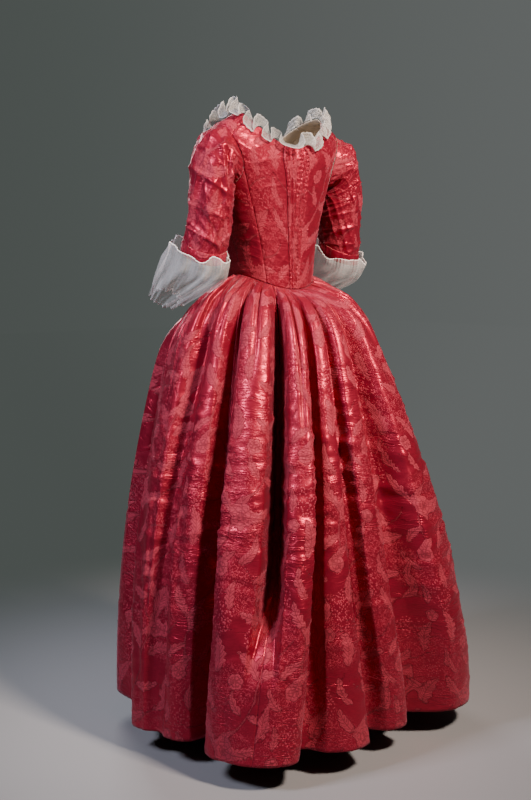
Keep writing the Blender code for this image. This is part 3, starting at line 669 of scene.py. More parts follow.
def make_mesh(name, grid, uv, closed):
    """Quads over the grid, with the cloth's own coordinates in metres as its UV map."""
    rows, cols = grid.shape[:2]
    ids = np.arange(rows * cols).reshape(rows, cols)
    places = np.arange(rows * uv.shape[1]).reshape(rows, -1)
    if closed:
        ids = np.concatenate([ids, ids[:, :1]], axis=1)
    quads, corners = (np.stack([a[:-1, :-1], a[:-1, 1:], a[1:, 1:], a[1:, :-1]], axis=-1).reshape(-1)
                      for a in (ids, places))
    mesh = bpy.data.meshes.new(name)
    mesh.vertices.add(rows * cols)
    mesh.vertices.foreach_set("co", grid.astype(np.float32).reshape(-1))
    mesh.loops.add(len(quads))
    mesh.loops.foreach_set("vertex_index", quads.astype(np.int32))
    mesh.polygons.add(len(quads) // 4)
    mesh.polygons.foreach_set("loop_start", np.arange(0, len(quads), 4, dtype=np.int32))
    mesh.update(calc_edges=True)
    layer = mesh.uv_layers.new(name="cloth")
    layer.data.foreach_set("uv", uv.reshape(-1, 2)[corners].astype(np.float32).reshape(-1))
    mesh.shade_smooth()
    return mesh


def keep(mesh, name, values):
    """Stores one number for each point, for the materials to read."""
    attribute = mesh.attributes.new(name, "FLOAT", "POINT")
    attribute.data.foreach_set("value", np.asarray(values, np.float32).reshape(-1))


def lay(name, grid, uv, node_name, materials, closed=False, thick=SILK_THICK, edge=None):
    """A finished piece of cloth in place of a CAD node; edge is kept as is, or else figures are."""
    mesh = make_mesh(name, grid, uv, closed)
    kept = damask(*np.moveaxis(uv[:, :grid.shape[1]] * 1000, -1, 0)) if edge is None else [edge]
    for label, values in zip(KEPT, kept):
        keep(mesh, label, values)
    for material in materials:
        mesh.materials.append(material)
    piece = placed(name, mesh)
    shell = piece.modifiers.new("lining", "SOLIDIFY")
    shell.thickness, shell.offset = thick, -1.0
    shell.material_offset = min(len(materials) - 1, 1)
    shell.material_offset_rim = len(materials) - 1
    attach(piece, "root")
    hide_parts(node_name)
    LAID[name] = piece
    return piece


def flat_size(grid, closed=False):
    """Width and length of the smallest oblong the piece is cut from, and the area that shows."""
    width = lengths(grid, 1, closed)[:, -1].max()
    length = lengths(grid, 0)[-1].max()
    whole = np.concatenate([grid, grid[:, :1]], axis=1) if closed else grid
    across, up = np.diff(whole, axis=1)[:-1], np.diff(whole, axis=0)[:, :-1]
    area = np.linalg.norm(np.cross(across, up), axis=-1).sum()
    return (float(width), float(length)), float(min(area, width * length))


def declare(piece, grid, closed=False):
    """Gives the piece's name and the width and length of the oblong it is cut from, as its line for the log.
    """
    flat, area = flat_size(grid, closed)
    return "%s %.2f x %.2f m" % (piece.name, *flat)


def cloth_places(grid, u_start=0.0, v_start=0.0, closed=False):
    """UV of a piece in metres: arc length round its middle row and up its columns."""
    round_way, up = lengths(grid, 1, closed), lengths(grid, 0)
    if closed:
        up = np.concatenate([up, up[:, :1]], axis=1)
    middle = round_way[:, [round_way.shape[1] // 2]]
    return np.stack([round_way - middle + u_start, up + v_start], axis=-1)


# %% [markdown]
# ## Bodice
# The back is cut in four: two outer panels and, between them, the centre back with its narrow
# pleats stitched down by hand. Long stitches draw the silk into small puckers beside each pleat.
# Seams sink a little and pucker a little too.

# %% Bodice
# Places on the torso are (angle, level); on the armhole, turns in degrees from its back
ARMHOLE = {"angle": 9.0, "angle_reach": 28.0, "level": 0.725, "level_reach": 0.125}
PLEAT_LINE = ((82.5, 0.0), (75.5, 1.0))
BACK_SEAM, FRONT_SEAM = (50.0, 0.0), (-25.0, 0.0)
STRAP_NECK = ((26.0, 1.0), (-20.0, 1.0))
STRAP_TURNS, SIDE_TURNS = (50.0, 130.0), (-20.0, 200.0)
BODICE_CRUMPLE = 0.0009
SEAM_DEPTH, SEAM_WIDTH = 0.0013, 0.0030
SEAM_PUCKER, SEAM_PUCKER_STEP, SEAM_PUCKER_WIDTH = 0.00045, 0.012, 0.009
PUCKER_STEP = 0.0088               # one stitch of the pleats and its pucker
PLEAT_FOLDS = ((0.02, 0.46), (0.50, 0.95))    # shares across where a stitched pleat starts and folds
PLEAT_RISE, STITCH_PUCKER, STITCH_SINK = 0.0026, 0.00150, 0.0010
STITCH_INSET, STITCH_WIDTH, STITCH_CORE = 0.13, 0.09, 0.035    # from the fold, as shares across
PANEL_COLUMNS = {"centre_back": 16, "back": 20, "side": 16, "front": 20, "shoulder_strap": 12}


def armhole(turn):
    """(angle, level) on the oval of the armhole, a full turn of 360 degrees."""
    turn = np.radians(turn)
    return np.stack([ARMHOLE["angle"] + ARMHOLE["angle_reach"] * np.cos(turn),
                     ARMHOLE["level"] + ARMHOLE["level_reach"] * np.sin(turn)], axis=-1)


def line(start, end, count):
    """Places evenly spaced from start to end."""
    share = np.linspace(0, 1, count)[:, None]
    return np.asarray(start, float) * (1 - share) + np.asarray(end, float) * share


def joined(*parts):
    """Lines end to end, each shared point kept once."""
    return np.concatenate([parts[0]] + [part[1:] for part in parts[1:]])


def patch(bottom, top, left, right):
    """Coons patch: edges blended across and up, less the corners."""
    u = np.linspace(0, 1, len(bottom))[None, :, None]
    v = np.linspace(0, 1, len(left))[:, None, None]
    corners = (bottom[0] * (1 - u) * (1 - v) + bottom[-1] * u * (1 - v)
               + top[0] * (1 - u) * v + top[-1] * u * v)
    return left[:, None] * (1 - u) + right[:, None] * u + bottom[None] * (1 - v) + top[None] * v - corners


def bodice_places():
    """(angle, level) places of each left panel, columns from the front to the centre back."""
    k = 7 * FINE
    seam, hole, strap = 5 * k + 1, 3 * k + 1, 2 * k + 1
    rows = seam + hole + strap - 2
    back_hole, front_hole = armhole(SIDE_TURNS[0]), armhole(SIDE_TURNS[1])
    strap_back, strap_front = armhole(STRAP_TURNS[0]), armhole(STRAP_TURNS[1])
    low, high = PLEAT_LINE
    back_edge = joined(line(BACK_SEAM, back_hole, seam),
                       armhole(np.linspace(SIDE_TURNS[0], STRAP_TURNS[0], hole)),
                       line(strap_back, STRAP_NECK[0], strap))
    front_edge = joined(line(FRONT_SEAM, front_hole, seam),
                        armhole(np.linspace(SIDE_TURNS[1], STRAP_TURNS[1], hole)),
                        line(strap_front, STRAP_NECK[1], strap))
    n = {panel: columns * FINE + 1 for panel, columns in PANEL_COLUMNS.items()}
    return {
        "centre_back": patch(line(low, (90, 0), n["centre_back"]), line(high, (90, 1), n["centre_back"]),
                             line(low, high, rows), line((90, 0), (90, 1), rows)),
        "back": patch(line(BACK_SEAM, low, n["back"]), line(STRAP_NECK[0], high, n["back"]),
                      back_edge, line(low, high, rows)),
        "side": patch(line(FRONT_SEAM, BACK_SEAM, n["side"]),
                      armhole(np.linspace(SIDE_TURNS[1], SIDE_TURNS[0] + 360, n["side"])),
                      line(FRONT_SEAM, front_hole, seam), line(BACK_SEAM, back_hole, seam)),
        "front": patch(line((-90, 0), FRONT_SEAM, n["front"]), line((-90, 1), STRAP_NECK[1], n["front"]),
                       line((-90, 0), (-90, 1), rows), front_edge),
        "shoulder_strap": patch(armhole(np.linspace(STRAP_TURNS[1], STRAP_TURNS[0], n["shoulder_strap"])),
                                line(STRAP_NECK[1], STRAP_NECK[0], n["shoulder_strap"]),
                                line(strap_front, STRAP_NECK[1], strap),
                                line(strap_back, STRAP_NECK[0], strap)),
    }


def seam_relief(grid):
    """Depth below the surface beside each edge: a groove and the pucker of its stitches."""
    across, up = lengths(grid, 1), lengths(grid, 0)
    from_side = np.minimum(across, across[:, -1:] - across)
    groove = -SEAM_DEPTH * bump(from_side, SEAM_WIDTH)
    wave = np.sin(2 * np.pi * up / SEAM_PUCKER_STEP + 3 * np.sin(up * 37))
    return groove + SEAM_PUCKER * wave * bump(from_side, SEAM_PUCKER_WIDTH)


def pleat_relief(grid):
    """Stitched pleats of the centre back: two folded edges, with puckers beside the stitching."""
    up = lengths(grid, 0)
    share = np.linspace(1, 0, grid.shape[1])[None, :]
    relief = np.zeros(grid.shape[:2])
    for start, fold in PLEAT_FOLDS:
        t = (share - start) / (fold - start)
        slope = np.where(t < 1, np.clip(t, 0, 1) ** 1.2, 0.0)
        drop = np.where(t >= 1, np.clip(1 - (t - 1) * 9, 0, 1), 0.0)
        relief += PLEAT_RISE * (slope + drop)
        off_line = share - (fold - STITCH_INSET)
        stitches = bump(off_line, STITCH_WIDTH)
        phase = 2 * np.pi * up / PUCKER_STEP + 5 * start + 0.9 * np.sin(up * 61)
        relief += STITCH_PUCKER * np.sin(phase) * stitches * (0.75 + 0.25 * np.sin(up * 23 + start))
        relief -= STITCH_SINK * stitches * bump(off_line, STITCH_CORE)
    return relief


# Where each panel is cut from the length, across and up it, in metres, and how much farther the right one is
BODICE_CUT = {"centre_back": (0.035, 0.30), "back": (0.20, 0.22), "side": (0.33, 0.10),
              "front": (0.46, 0.35), "shoulder_strap": (0.12, 0.62)}
RIGHT_CUT = 0.11
# Soft pulls in the fitted panels: panel, share across, share up, width, height, depth in millimetres
BODICE_PULLS = (
    ("back", 0.30, 0.80, 0.10, 0.05, -1.1), ("back", 0.42, 0.70, 0.20, 0.03, 0.9),
    ("back", 0.22, 0.62, 0.16, 0.03, -0.8), ("back", 0.60, 0.36, 0.30, 0.025, -0.6),
    ("back", 0.36, 0.14, 0.24, 0.02, 0.9), ("back", 0.52, 0.08, 0.26, 0.02, -0.9),
    ("side", 0.55, 0.86, 0.22, 0.05, -1.2), ("side", 0.40, 0.60, 0.25, 0.03, 0.8),
    ("side", 0.62, 0.34, 0.28, 0.03, -0.8), ("side", 0.50, 0.12, 0.30, 0.03, 0.9),
    ("front", 0.70, 0.78, 0.20, 0.04, -1.0), ("front", 0.50, 0.40, 0.30, 0.03, 0.7),
    ("front", 0.35, 0.12, 0.30, 0.03, -0.8),
)


def bodice_grid(name, places):
    """The panel on the torso, with its seams, its pulls and a crumple that fades at its edges."""
    grid = torso(places[..., 0], places[..., 1])
    relief = seam_relief(grid)
    if name == "centre_back":
        relief += pleat_relief(grid)
    across = np.linspace(0, 1, grid.shape[1])[None, :]
    up = np.linspace(0, 1, grid.shape[0])[:, None]
    for panel, x, y, wide, tall, depth in BODICE_PULLS:
        if panel == name:
            relief += depth / 1000 * bump(across - x, wide) * bump(up - y - 0.12 * (across - x), tall)
    fade = np.minimum(1, 9 * np.minimum(across, 1 - across)) * np.minimum(1, 12 * np.minimum(up, 1 - up))
    relief += BODICE_CRUMPLE * fade * crumple(lengths(grid, 1), lengths(grid, 0), 0.8)
    return grid + torso_normals(places[..., 0], places[..., 1]) * relief[..., None]


said = []
for name, places in bodice_places().items():
    grid = bodice_grid(name, places)
    for side, flip in SIDES:
        points, (u, v) = on_side(grid, side), BODICE_CUT[name]
        uv = cloth_places(points, u + RIGHT_CUT * flip, v)
        piece = lay("silk_%s_%s" % (name, side), points, uv, "%s_%s" % (name, side),
                    [BODICE_SILK, LINING])
        said.append(declare(piece, points))
print("bodice", said)

# %% [markdown]
# ## Sleeves and their bands
# Each sleeve is one shaped tube, set in close at the back and easing over the elbow, where it
# creases as the arm bends. The turned band at its end is a second strip of the same silk.

# %% Sleeves and their bands
# Sleeve rings from below the armhole to the elbow: centre, half sizes across and up, tilt
SLEEVE_RINGS = (
    (0.172, 0.040, 1.221, 0.061, 0.057, 22.0),
    (0.184, 0.042, 1.188, 0.059, 0.051, 50.0),
    (0.187, 0.043, 1.145, 0.057, 0.047, 76.0),
    (0.188, 0.041, 1.096, 0.054, 0.046, 90.0),
    (0.194, 0.036, 1.052, 0.052, 0.045, 92.0),
    (0.199, 0.026, 1.012, 0.049, 0.044, 94.0),
)
SLEEVE_SLOPE = 0.022               # how much lower the sleeve's end is behind the elbow
BAND_WIDTH, BAND_RISE = 0.025, 0.0024
SLEEVE_RADIUS, SLEEVE_LENGTH, SLEEVE_CRUMPLE = 0.055, 0.20, 0.0030
SLEEVE_GATHERS, GATHER_DEPTH = 26, 0.0011     # of the sleeve's head, at the back of the arm
RIGHT_CREASES = (14, 0.03, 0.2)    # how far the right sleeve's are turned, lowered and made shallower
CREASE_UNIT, CREASE_SPREAD = 1 / 600, 1.5     # metres for a depth of 1 below, and how wide for a width of 1
# Creases: turn in degrees, share of the length from the elbow, lean, half width, half length, depth
SLEEVE_CREASES = (
    (20, 0.84, 70, 5, 0.10, -3.2), (36, 0.80, 50, 6, 0.12, 2.6), (52, 0.86, 60, 6, 0.09, -2.6),
    (4, 0.70, 40, 6, 0.16, -3.4), (-14, 0.62, 26, 7, 0.20, 2.6), (-34, 0.52, 12, 7, 0.22, -2.4),
    (16, 0.48, 20, 6, 0.20, -3.0), (44, 0.42, -8, 8, 0.20, 2.8), (70, 0.54, -20, 8, 0.18, -2.4),
    (100, 0.36, 14, 8, 0.18, 2.2), (132, 0.58, 26, 8, 0.16, -2.2), (160, 0.40, -14, 8, 0.20, 2.2),
    (-60, 0.34, 60, 8, 0.10, -2.2), (-96, 0.26, 80, 9, 0.07, -2.6), (-130, 0.30, 70, 9, 0.08, 2.2),
    (30, 0.24, 80, 7, 0.06, -2.4), (62, 0.16, 90, 8, 0.05, 2.0), (-20, 0.20, 80, 8, 0.06, 2.2),
    (-150, 0.62, 30, 8, 0.14, -2.0), (190, 0.76, 40, 7, 0.10, 2.2),
)


def sleeve_rings(columns):
    """The sleeve's ovals from the elbow up, each a row of points, and last the armhole itself."""
    turn = -np.linspace(0, 360, columns, endpoint=False)
    c, s = np.cos(np.radians(turn)), np.sin(np.radians(turn))
    rings = []
    for x, y, height, across, up, tilt in reversed(SLEEVE_RINGS):
        lean = math.radians(tilt)
        rings.append(np.stack([x + up * s * math.sin(lean), y + across * c,
                               height - SHOULDER + up * s * math.cos(lean)], axis=-1))
    rings[0][:, 2] -= SLEEVE_SLOPE * c
    rings[1][:, 2] -= SLEEVE_SLOPE / 2 * c
    angle, level = armhole(turn).T
    rings.append(torso(angle, level) + torso_normals(angle, level) * 0.0008)
    return np.stack(rings), turn


def crease_relief(turn, share, table):
    """Sum of soft troughs and ridges, each along a line that leans as it goes up the tube."""
    relief = np.zeros((len(share), len(turn)))
    up = share[:, None]
    for at, height, lean, wide, long, depth in table:
        along = (up - height) / long
        place = (turn[None, :] - at - lean * along * long * 2.2 + 180) % 360 - 180
        relief += depth * CREASE_UNIT * bump(place, wide * CREASE_SPREAD) * bump(along, 1.0)
    return relief


def sleeve_grid(flip):
    """The sleeve through its rings, with its creases, its crumple and the gathers of its head."""
    rings, turn = sleeve_rings(84 * FINE)
    share = np.linspace(0, 1, 60 * FINE)
    grid = smooth(np.arange(len(rings)), rings, share * (len(rings) - 1))
    turned, lowered, shallower = (flip * number for number in RIGHT_CREASES)
    table = [(at + turned, height - lowered, lean, wide, long, depth * (1 - shallower))
             for at, height, lean, wide, long, depth in SLEEVE_CREASES]
    relief = crease_relief(turn, share, table) * np.clip((share - 0.10) / 0.08, 0, 1)[:, None]
    relief *= np.clip((1 - share) / 0.05, 0, 1)[:, None]
    round_way = SLEEVE_RADIUS * np.radians(turn)[None, :]
    rough = SLEEVE_CRUMPLE * ends_faded(share, 0.12, 0.10)[:, None]
    relief += rough * crumple(round_way, SLEEVE_LENGTH * share[:, None], 0.75, 1.3 * flip)
    behind = np.clip(np.cos(np.radians(turn + 60)), 0, 1)
    gathers = GATHER_DEPTH * np.sin(np.radians(turn) * SLEEVE_GATHERS) * behind
    relief += gathers[None, :] * bump(share - 0.955, 0.035)[:, None]
    return grid + normals(grid, True) * relief[..., None]


def band_grid(sleeve):
    """The turned band: it stands off the sleeve's end, rolled at both edges and softly puckered."""
    turn = np.linspace(0, 2 * np.pi, sleeve.shape[1], endpoint=False)
    along = unit(sleeve[3 * FINE] - sleeve[0])
    share = np.linspace(0, 1, 7 * FINE)
    grid = sleeve[0][None] + along[None] * (BAND_WIDTH * share)[:, None, None]
    roll = np.sin(np.pi * np.clip(share, 0.03, 0.97)) ** 0.35
    wave = 0.0005 * np.sin(9 * turn + 2 * np.sin(3 * turn)) + 0.0003 * np.sin(23 * turn)
    stand = BAND_RISE * roll[:, None] + wave[None, :] * roll[:, None]
    return grid + normals(grid, True) * stand[..., None]


said = []
for side, flip in SIDES:
    sleeve = sleeve_grid(flip)
    for name, grid, v, held in (("sleeve", sleeve, 0.12, "draped"),
                                ("sleeve_band", band_grid(sleeve), 0.44, "stretched")):
        points = on_side(grid, side)
        uv = cloth_places(points, 0.16 + 0.07 * flip, v, closed=True)
        piece = lay("silk_%s_%s" % (name, side), points, uv, "%s_%s" % (name, side),
                    [BODICE_SILK, LINING], closed=True, thick=SLEEVE_THICK)
        said.append(declare(piece, points, closed=True))
print("sleeves", said)

# %% [markdown]
# ## Elbow ruffles
# A ruffle is a length of sheer lawn with a rolled edge, gathered on to the sleeve's end. It springs
# out from the gathers and falls in soft flutes, long behind the elbow and short in its bend.

# %% Elbow ruffles
# Rings from sleeve to wrist: x, half width, y and height of the lowest point, of the highest, wave
RUFFLE_RINGS = (
    (0.203, 0.0610, 0.0900, 1.000, -0.0480, 1.052, 0.0030),
    (0.202, 0.0590, 0.087, 0.979, -0.064, 1.034, 0.0025),
    (0.202, 0.0590, 0.070, 0.955, -0.082, 1.017, 0.0035),
    (0.200, 0.0570, 0.025, 0.938, -0.098, 0.993, 0.0040),
    (0.195, 0.0490, -0.042, 0.917, -0.123, 0.966, 0.0040),
    (0.188, 0.0400, -0.102, 0.898, -0.148, 0.936, 0.0045),
)
RUFFLE_WAVES, RUFFLE_GATHERS = 10, 64
GATHERED_FROM = 0.62               # share of the ruffle's length at which its gathers begin
RIM_WAVE = 0.0055                  # how far the ruffle's upper edge rises and falls
# Soft folds down the ruffle: turn in degrees at the wrist end, lean, half width, depth in millimetres
RUFFLE_FOLDS = ((-20, 30, 7, -5.0), (-48, 22, 8, 4.0), (-70, 12, 7, -4.5), (-96, -10, 9, 4.5),
                (-118, -16, 7, -4.0), (-150, -24, 9, 3.5), (-185, 14, 8, -4.5), (-214, 26, 9, 4.0),
                (-245, 20, 8, -4.5), (-282, -12, 9, 4.0), (-310, -24, 8, -4.5), (-338, 12, 8, 3.5))


def ruffle_grid(flip):
    """The ruffle through its ovals, each swelling in waves, with its gathers, soft folds and flutter."""
    turn = -np.linspace(0, 2 * np.pi, 176 * FINE, endpoint=False)
    rings = []
    for x, half, low_y, low_h, high_y, high_h, wave in reversed(RUFFLE_RINGS):
        centre = np.array([x, (low_y + high_y) / 2, (low_h + high_h) / 2 - SHOULDER])
        sideways = np.array([half, 0.0, 0.0])
        forward = np.array([0.0, (high_y - low_y) / 2, (high_h - low_h) / 2])
        uneven = RUFFLE_WAVES * turn + 0.5 * np.sin(3 * turn + flip)
        swell = 1 + wave * (np.cos(uneven) + 0.35 * np.sin(17 * turn + 1 + flip)) / half
        spokes = np.cos(turn)[:, None] * -forward + np.sin(turn)[:, None] * sideways
        rings.append(centre + spokes * swell[:, None])
    share = np.linspace(0, 1, 22 * FINE)
    grid = smooth(np.arange(len(rings)), np.stack(rings), share * (len(rings) - 1))
    gathers = GATHER_DEPTH * np.sin(RUFFLE_GATHERS * turn + 2 * np.sin(5 * turn))
    depth = gathers[None, :] * np.clip(share - GATHERED_FROM, 0, 1)[:, None] / (1 - GATHERED_FROM)
    notch = RIM_WAVE * (np.sin(4 * turn + 1.2 + flip) + 0.7 * np.sin(7 * turn + 0.4))
    grid[..., 2] += notch[None, :] * bump(share - 1, 0.16)[:, None]
    flutter = 0.0030 * np.sin(13 * turn + 2 * np.sin(2 * turn) + flip) * bump(share, 0.30)[:, None]
    flutter += 0.0022 * np.sin(29 * turn + 3 * np.sin(3 * turn)) * bump(share, 0.16)[:, None]
    for at, lean, wide, drop in RUFFLE_FOLDS:
        place = (np.degrees(turn)[None, :] - at - lean * share[:, None] + 180) % 360 - 180
        flutter += drop / 1000 * bump(place, wide) * np.sin(np.pi * np.clip(share * 1.15, 0, 1))[:, None]
    return grid + normals(grid, True) * (depth + flutter)[..., None], share


said = []
for side, flip in SIDES:
    grid, share = ruffle_grid(flip)
    points = on_side(grid, side)
    rim = np.tile(np.clip(1.6 - np.minimum(share, 1 - share) * 60, -1, 1)[:, None], (1, points.shape[1]))
    piece = lay("lawn_elbow_ruffle_" + side, points, cloth_places(points, closed=True),
                "elbow_ruffle_" + side, [LAWN], closed=True, thick=LAWN_THICK, edge=rim)
    said.append(declare(piece, points, closed=True))
print("ruffles", said)

# %% [markdown]
# ## Neck frill
# A strip of narrow lace is whipped round the neckline and stands up in waves. Its outer edge is
# scalloped and finished with picots, its ground is fine net.

# %% Neck frill
FRILL_WIDTH, FRILL_WAVES, FRILL_LIFT = 0.032, 16, 0.0030
FRILL_RISE, FRILL_SWING = 38.0, 46.0    # degrees
FRILL_LOOP = 0.0075                # how far the outer edge runs ahead of its seam, which rounds each lobe
FRILL_FALL = 16.0                  # degrees by which the strip bends outward towards its edge
SCALLOPS = 192                     # twelve to a wave
SCALLOP_DEPTH = 0.0022


def frill_grid():
    """Strip from the neckline out: it rises at 38 degrees and swings by 46 in 16 uneven waves round it.

    The swing grows as share^0.4 of the width and the edge falls in scallops 1 - |cos(n a / 2)|^0.7 deep.
    """
    turn = np.linspace(0, 360, FRILL_WAVES * 36 * FINE, endpoint=False)
    neckline = torso(turn, np.ones_like(turn))
    out = unit((torso(turn, np.full_like(turn, 0.97)) - neckline) * LEVEL)
    a = np.radians(turn)
    uneven = FRILL_WAVES * a + 0.55 * np.sin(5 * a + 1) + 0.4 * np.sin(11 * a)
    share = np.linspace(0, 1, 7 * FINE)[:, None]
    swing = FRILL_SWING * (0.9 + 0.25 * np.sin(7 * a + 2)) * np.tanh(1.6 * np.sin(uneven))
    rise = np.radians(FRILL_RISE - FRILL_FALL * share + swing * share ** 0.4)
    scallop = 1 - SCALLOP_DEPTH / FRILL_WIDTH * (1 - np.abs(np.cos(SCALLOPS * a / 2)) ** 0.7)
    reach = FRILL_WIDTH * share * (1 + (scallop - 1) * share ** 3)
    way = out[None] * np.cos(rise)[..., None] + UP * np.sin(rise)[..., None]
    along = unit(np.roll(neckline, -1, axis=0) - np.roll(neckline, 1, axis=0))
    loop = -FRILL_LOOP * np.sin(2 * uneven) * share
    base = neckline + UP * FRILL_LIFT
    return base + way * reach[..., None] + along[None] * loop[..., None], share[:, 0]


grid, share = frill_grid()
grid, share = grid[::-1], share[::-1]
edge = np.tile(np.clip((share - 0.88) * 30, -1, 1)[:, None], (1, grid.shape[1]))
piece = lay("lace_neck_frill", grid, cloth_places(grid, closed=True), "neck_frill", [LACE],
            closed=True, thick=LACE_THICK, edge=edge)
print("frill", declare(piece, grid, closed=True))

# %% [markdown]
# ## Skirt of the gown
# Four breadths of silk are pleated small into the waist and open below it into deep folds over the
# pad. The folds' places follow the photograph; between the visible ones the same kind carries on
# round the hidden side. Creases across the silk come from sitting and folding: each is listed,
# longer and deeper where the cloth bends most.

# %% Skirt of the gown
HIP_BACK, HIP_FRONT, MID = 0.832, 0.780, 0.524    # heights over the hem
AXIS_Y = (0.043, 0.051, 0.052)     # y of the skirt's axis at the hip, at mid height and at the hem
# From waist to hip: share of the way out, and share of the height still left, at the back and at the front
YOKE_SPREAD = (0.0, 0.24, 0.58, 0.86, 1.0)
YOKE_BACK = (1.0, 0.92, 0.74, 0.40, 0.0)
YOKE_FRONT = (1.0, 0.87, 0.64, 0.34, 0.0)
OVERHANG = 0.09                    # how far a fold leans over its valley, as a share of its depth
# Shares of the way from crest to valley where a fold's wall starts and how wide it is, and the share of
# the depth that the rounded crest itself falls, at the hip, at mid height and at the hem
FOLD_SHAPE = ((0.38, 0.27, 0.14), (0.43, 0.23, 0.12), (0.42, 0.46, 0.20))
# kind, pleat, columns, angles at waist, hip, mid and hem, reaches at hip, mid and hem
FOLDS = (
    ("edge", 0.5, 12, -50, -37, -34, -21, 0.253, 0.300, 0.337),
    ("crest", 3.5, 7, -14, -14, -10, -8, 0.244, 0.320, 0.376),
    ("valley", 5.5, 6, 10, 1, 2, 3, 0.192, 0.284, 0.352),
    ("crest", 6.5, 6, 22, 12, 12, 10, 0.222, 0.310, 0.362),
    ("valley", 7.5, 7, 33, 19, 22, 21, 0.176, 0.244, 0.292),
    ("crest", 8.5, 8, 45, 37, 36, 33, 0.224, 0.338, 0.410),
    ("valley", 9.5, 8, 57, 51, 49, 42, 0.150, 0.222, 0.400),
    ("crest", 10.5, 7, 67, 61, 58, 50, 0.222, 0.340, 0.420),
    ("valley", 11.5, 5, 76, 69, 64, 57, 0.180, 0.258, 0.332),
    ("crest", 12.0, 5, 81, 75, 70, 73, 0.208, 0.306, 0.368),
    ("valley", 12.5, 5, 86, 82, 79, 89, 0.182, 0.260, 0.288),
    ("crest", 13.0, 5, 92, 90, 87, 102, 0.214, 0.298, 0.335),
    ("valley", 13.5, 7, 98, 99, 97, 114, 0.182, 0.256, 0.290),
    ("crest", 14.5, 7, 112, 118, 121, 139, 0.228, 0.344, 0.439),
    ("valley", 15.5, 7, 125, 134, 141, 153, 0.188, 0.276, 0.352),
    ("crest", 16.5, 7, 137, 146, 152, 165, 0.228, 0.338, 0.401),
    ("valley", 17.5, 8, 148, 156, 165, 174, 0.186, 0.262, 0.318),
    ("crest", 19.0, 7, 164, 168, 174, 181, 0.224, 0.316, 0.372),
    ("valley", 20.5, 7, 178, 181, 184, 187, 0.198, 0.284, 0.346),
    ("crest", 22.0, 10, 200, 197, 196, 194, 0.242, 0.316, 0.366),
    ("edge", 24.5, 0, 230, 217, 214, 201, 0.253, 0.300, 0.337),
)
# Crests that run into one above the hem: pleats, heights where their valley starts and ends closing, swell
MERGED_FOLDS = ((8.5, 10.5, 0.36, 0.14, 0.016),)
SEAM_PLEATS = (9.5, 12.5, 15.5)
PIECES = ("skirt_side_left", "skirt_back_left", "skirt_back_right", "skirt_side_right")
CENTRE_PLEAT, PLEAT_DEPTH, PLEAT_FADE = 12.5, 0.0088, 0.34
SKIRT_CRUMPLE, SKIRT_DRIFT = 0.0026, 0.0022
LOW_ROWS, YOKE_ROWS = 66 * FINE, 17 * FINE    # below the hip and above it
# How far down each slit between the small pleats runs, as a share of PLEAT_FADE
PLEAT_LENGTHS = (0.5, 0.8, 0.45, 0.9, 0.5, 0.75, 0.4, 1.0, 0.6, 0.7, 1.0, 0.65, 0.9, 0.6, 0.85, 0.45, 0.95,
                 0.5, 0.8, 0.45, 0.9, 0.5, 0.75, 0.5, 0.8)


def between_levels(height, hip_h, hip, mid, hem):
    """The curve of second degree through values at the hip, at mid height and at the hem."""
    a = (height - MID) * height / ((hip_h - MID) * hip_h)
    b = (height - hip_h) * height / ((MID - hip_h) * MID)
    c = (height - hip_h) * (height - MID) / (hip_h * MID)
    return a * hip + b * mid + c * hem


def hip_height(angle):
    """Height of the skirt's shoulder: it rises from front to back with the sine."""
    return HIP_FRONT + (HIP_BACK - HIP_FRONT) * (1 + np.sin(np.radians(angle))) / 2


def soften_hip(grid, hip_row, times=9):
    """Rounds the shoulder of the skirt: each inner row moves to the mean of its neighbours, times over."""
    first, last = hip_row - 16 * FINE, min(hip_row + 8 * FINE, len(grid) - 2)
    for _ in range(times * FINE * FINE):
        mean = (grid[first - 1:last - 1] + grid[first + 1:last + 1]) / 2
        grid[first:last] += (mean - grid[first:last]) * 0.7
    return grid


def skirt_rows(waist, angles, reaches, low_rows, yoke_rows):
    """Rows from the hem to the waist from angle and reach at the hip, at mid height and at the hem."""
    hip_h = hip_height(angles[0])
    height = np.linspace(0, 1, low_rows)[:, None] * hip_h[None, :]
    angle = np.radians(between_levels(height, hip_h, *angles))
    reach = between_levels(height, hip_h, *reaches)
    axis = between_levels(height, hip_h, *AXIS_Y)
    low = np.stack([reach * np.cos(angle), axis + reach * np.sin(angle), height - SHOULDER], axis=-1)
    hip, behind = low[-1], (1 + np.sin(np.radians(angles[0]))) / 2
    at = np.linspace(4, 0, yoke_rows + 1)[1:]
    knots = np.arange(5)
    spread = smooth(knots, YOKE_SPREAD, at)[:, None]
    drop = (smooth(knots, YOKE_FRONT, at)[:, None] * (1 - behind)
            + smooth(knots, YOKE_BACK, at)[:, None] * behind)
    yoke = waist[None] + (hip - waist)[None] * spread[..., None]
    yoke[..., 2] = hip[:, 2] + (waist[:, 2] - hip[:, 2]) * drop
    return np.concatenate([low, yoke])


def into_valley(toward, crest, wall, fall):
    """Share of the depth at a share of the way to the valley: a rounded crest, a wall, a flat floor."""
    t = np.clip((toward - crest) / wall, 0, 1)
    return fall * np.clip(toward / crest, 0, 1) ** 2 + (1 - fall) * eased(t)


def merge_folds(grid, pleat):
    """Closes the valleys of MERGED_FOLDS towards the hem with a straight stretch from crest to crest."""
    for first, last, start, end, swell in MERGED_FOLDS:
        a, b = (int(np.argmin(np.abs(pleat - p))) for p in (first, last))
        fold = grid[:, a:b + 1]
        share = ((pleat[a:b + 1] - first) / (last - first))[None, :, None]
        t = np.clip((start - fold[..., 2] - SHOULDER) / (start - end), 0, 1)[..., None]
        out = unit((fold[:, :1] + fold[:, -1:]) * LEVEL)
        across = fold[:, :1] * (1 - share) + fold[:, -1:] * share + out * swell * 4 * share * (1 - share)
        grid[:, a:b + 1] = fold + (across - fold) * eased(t)
    return grid


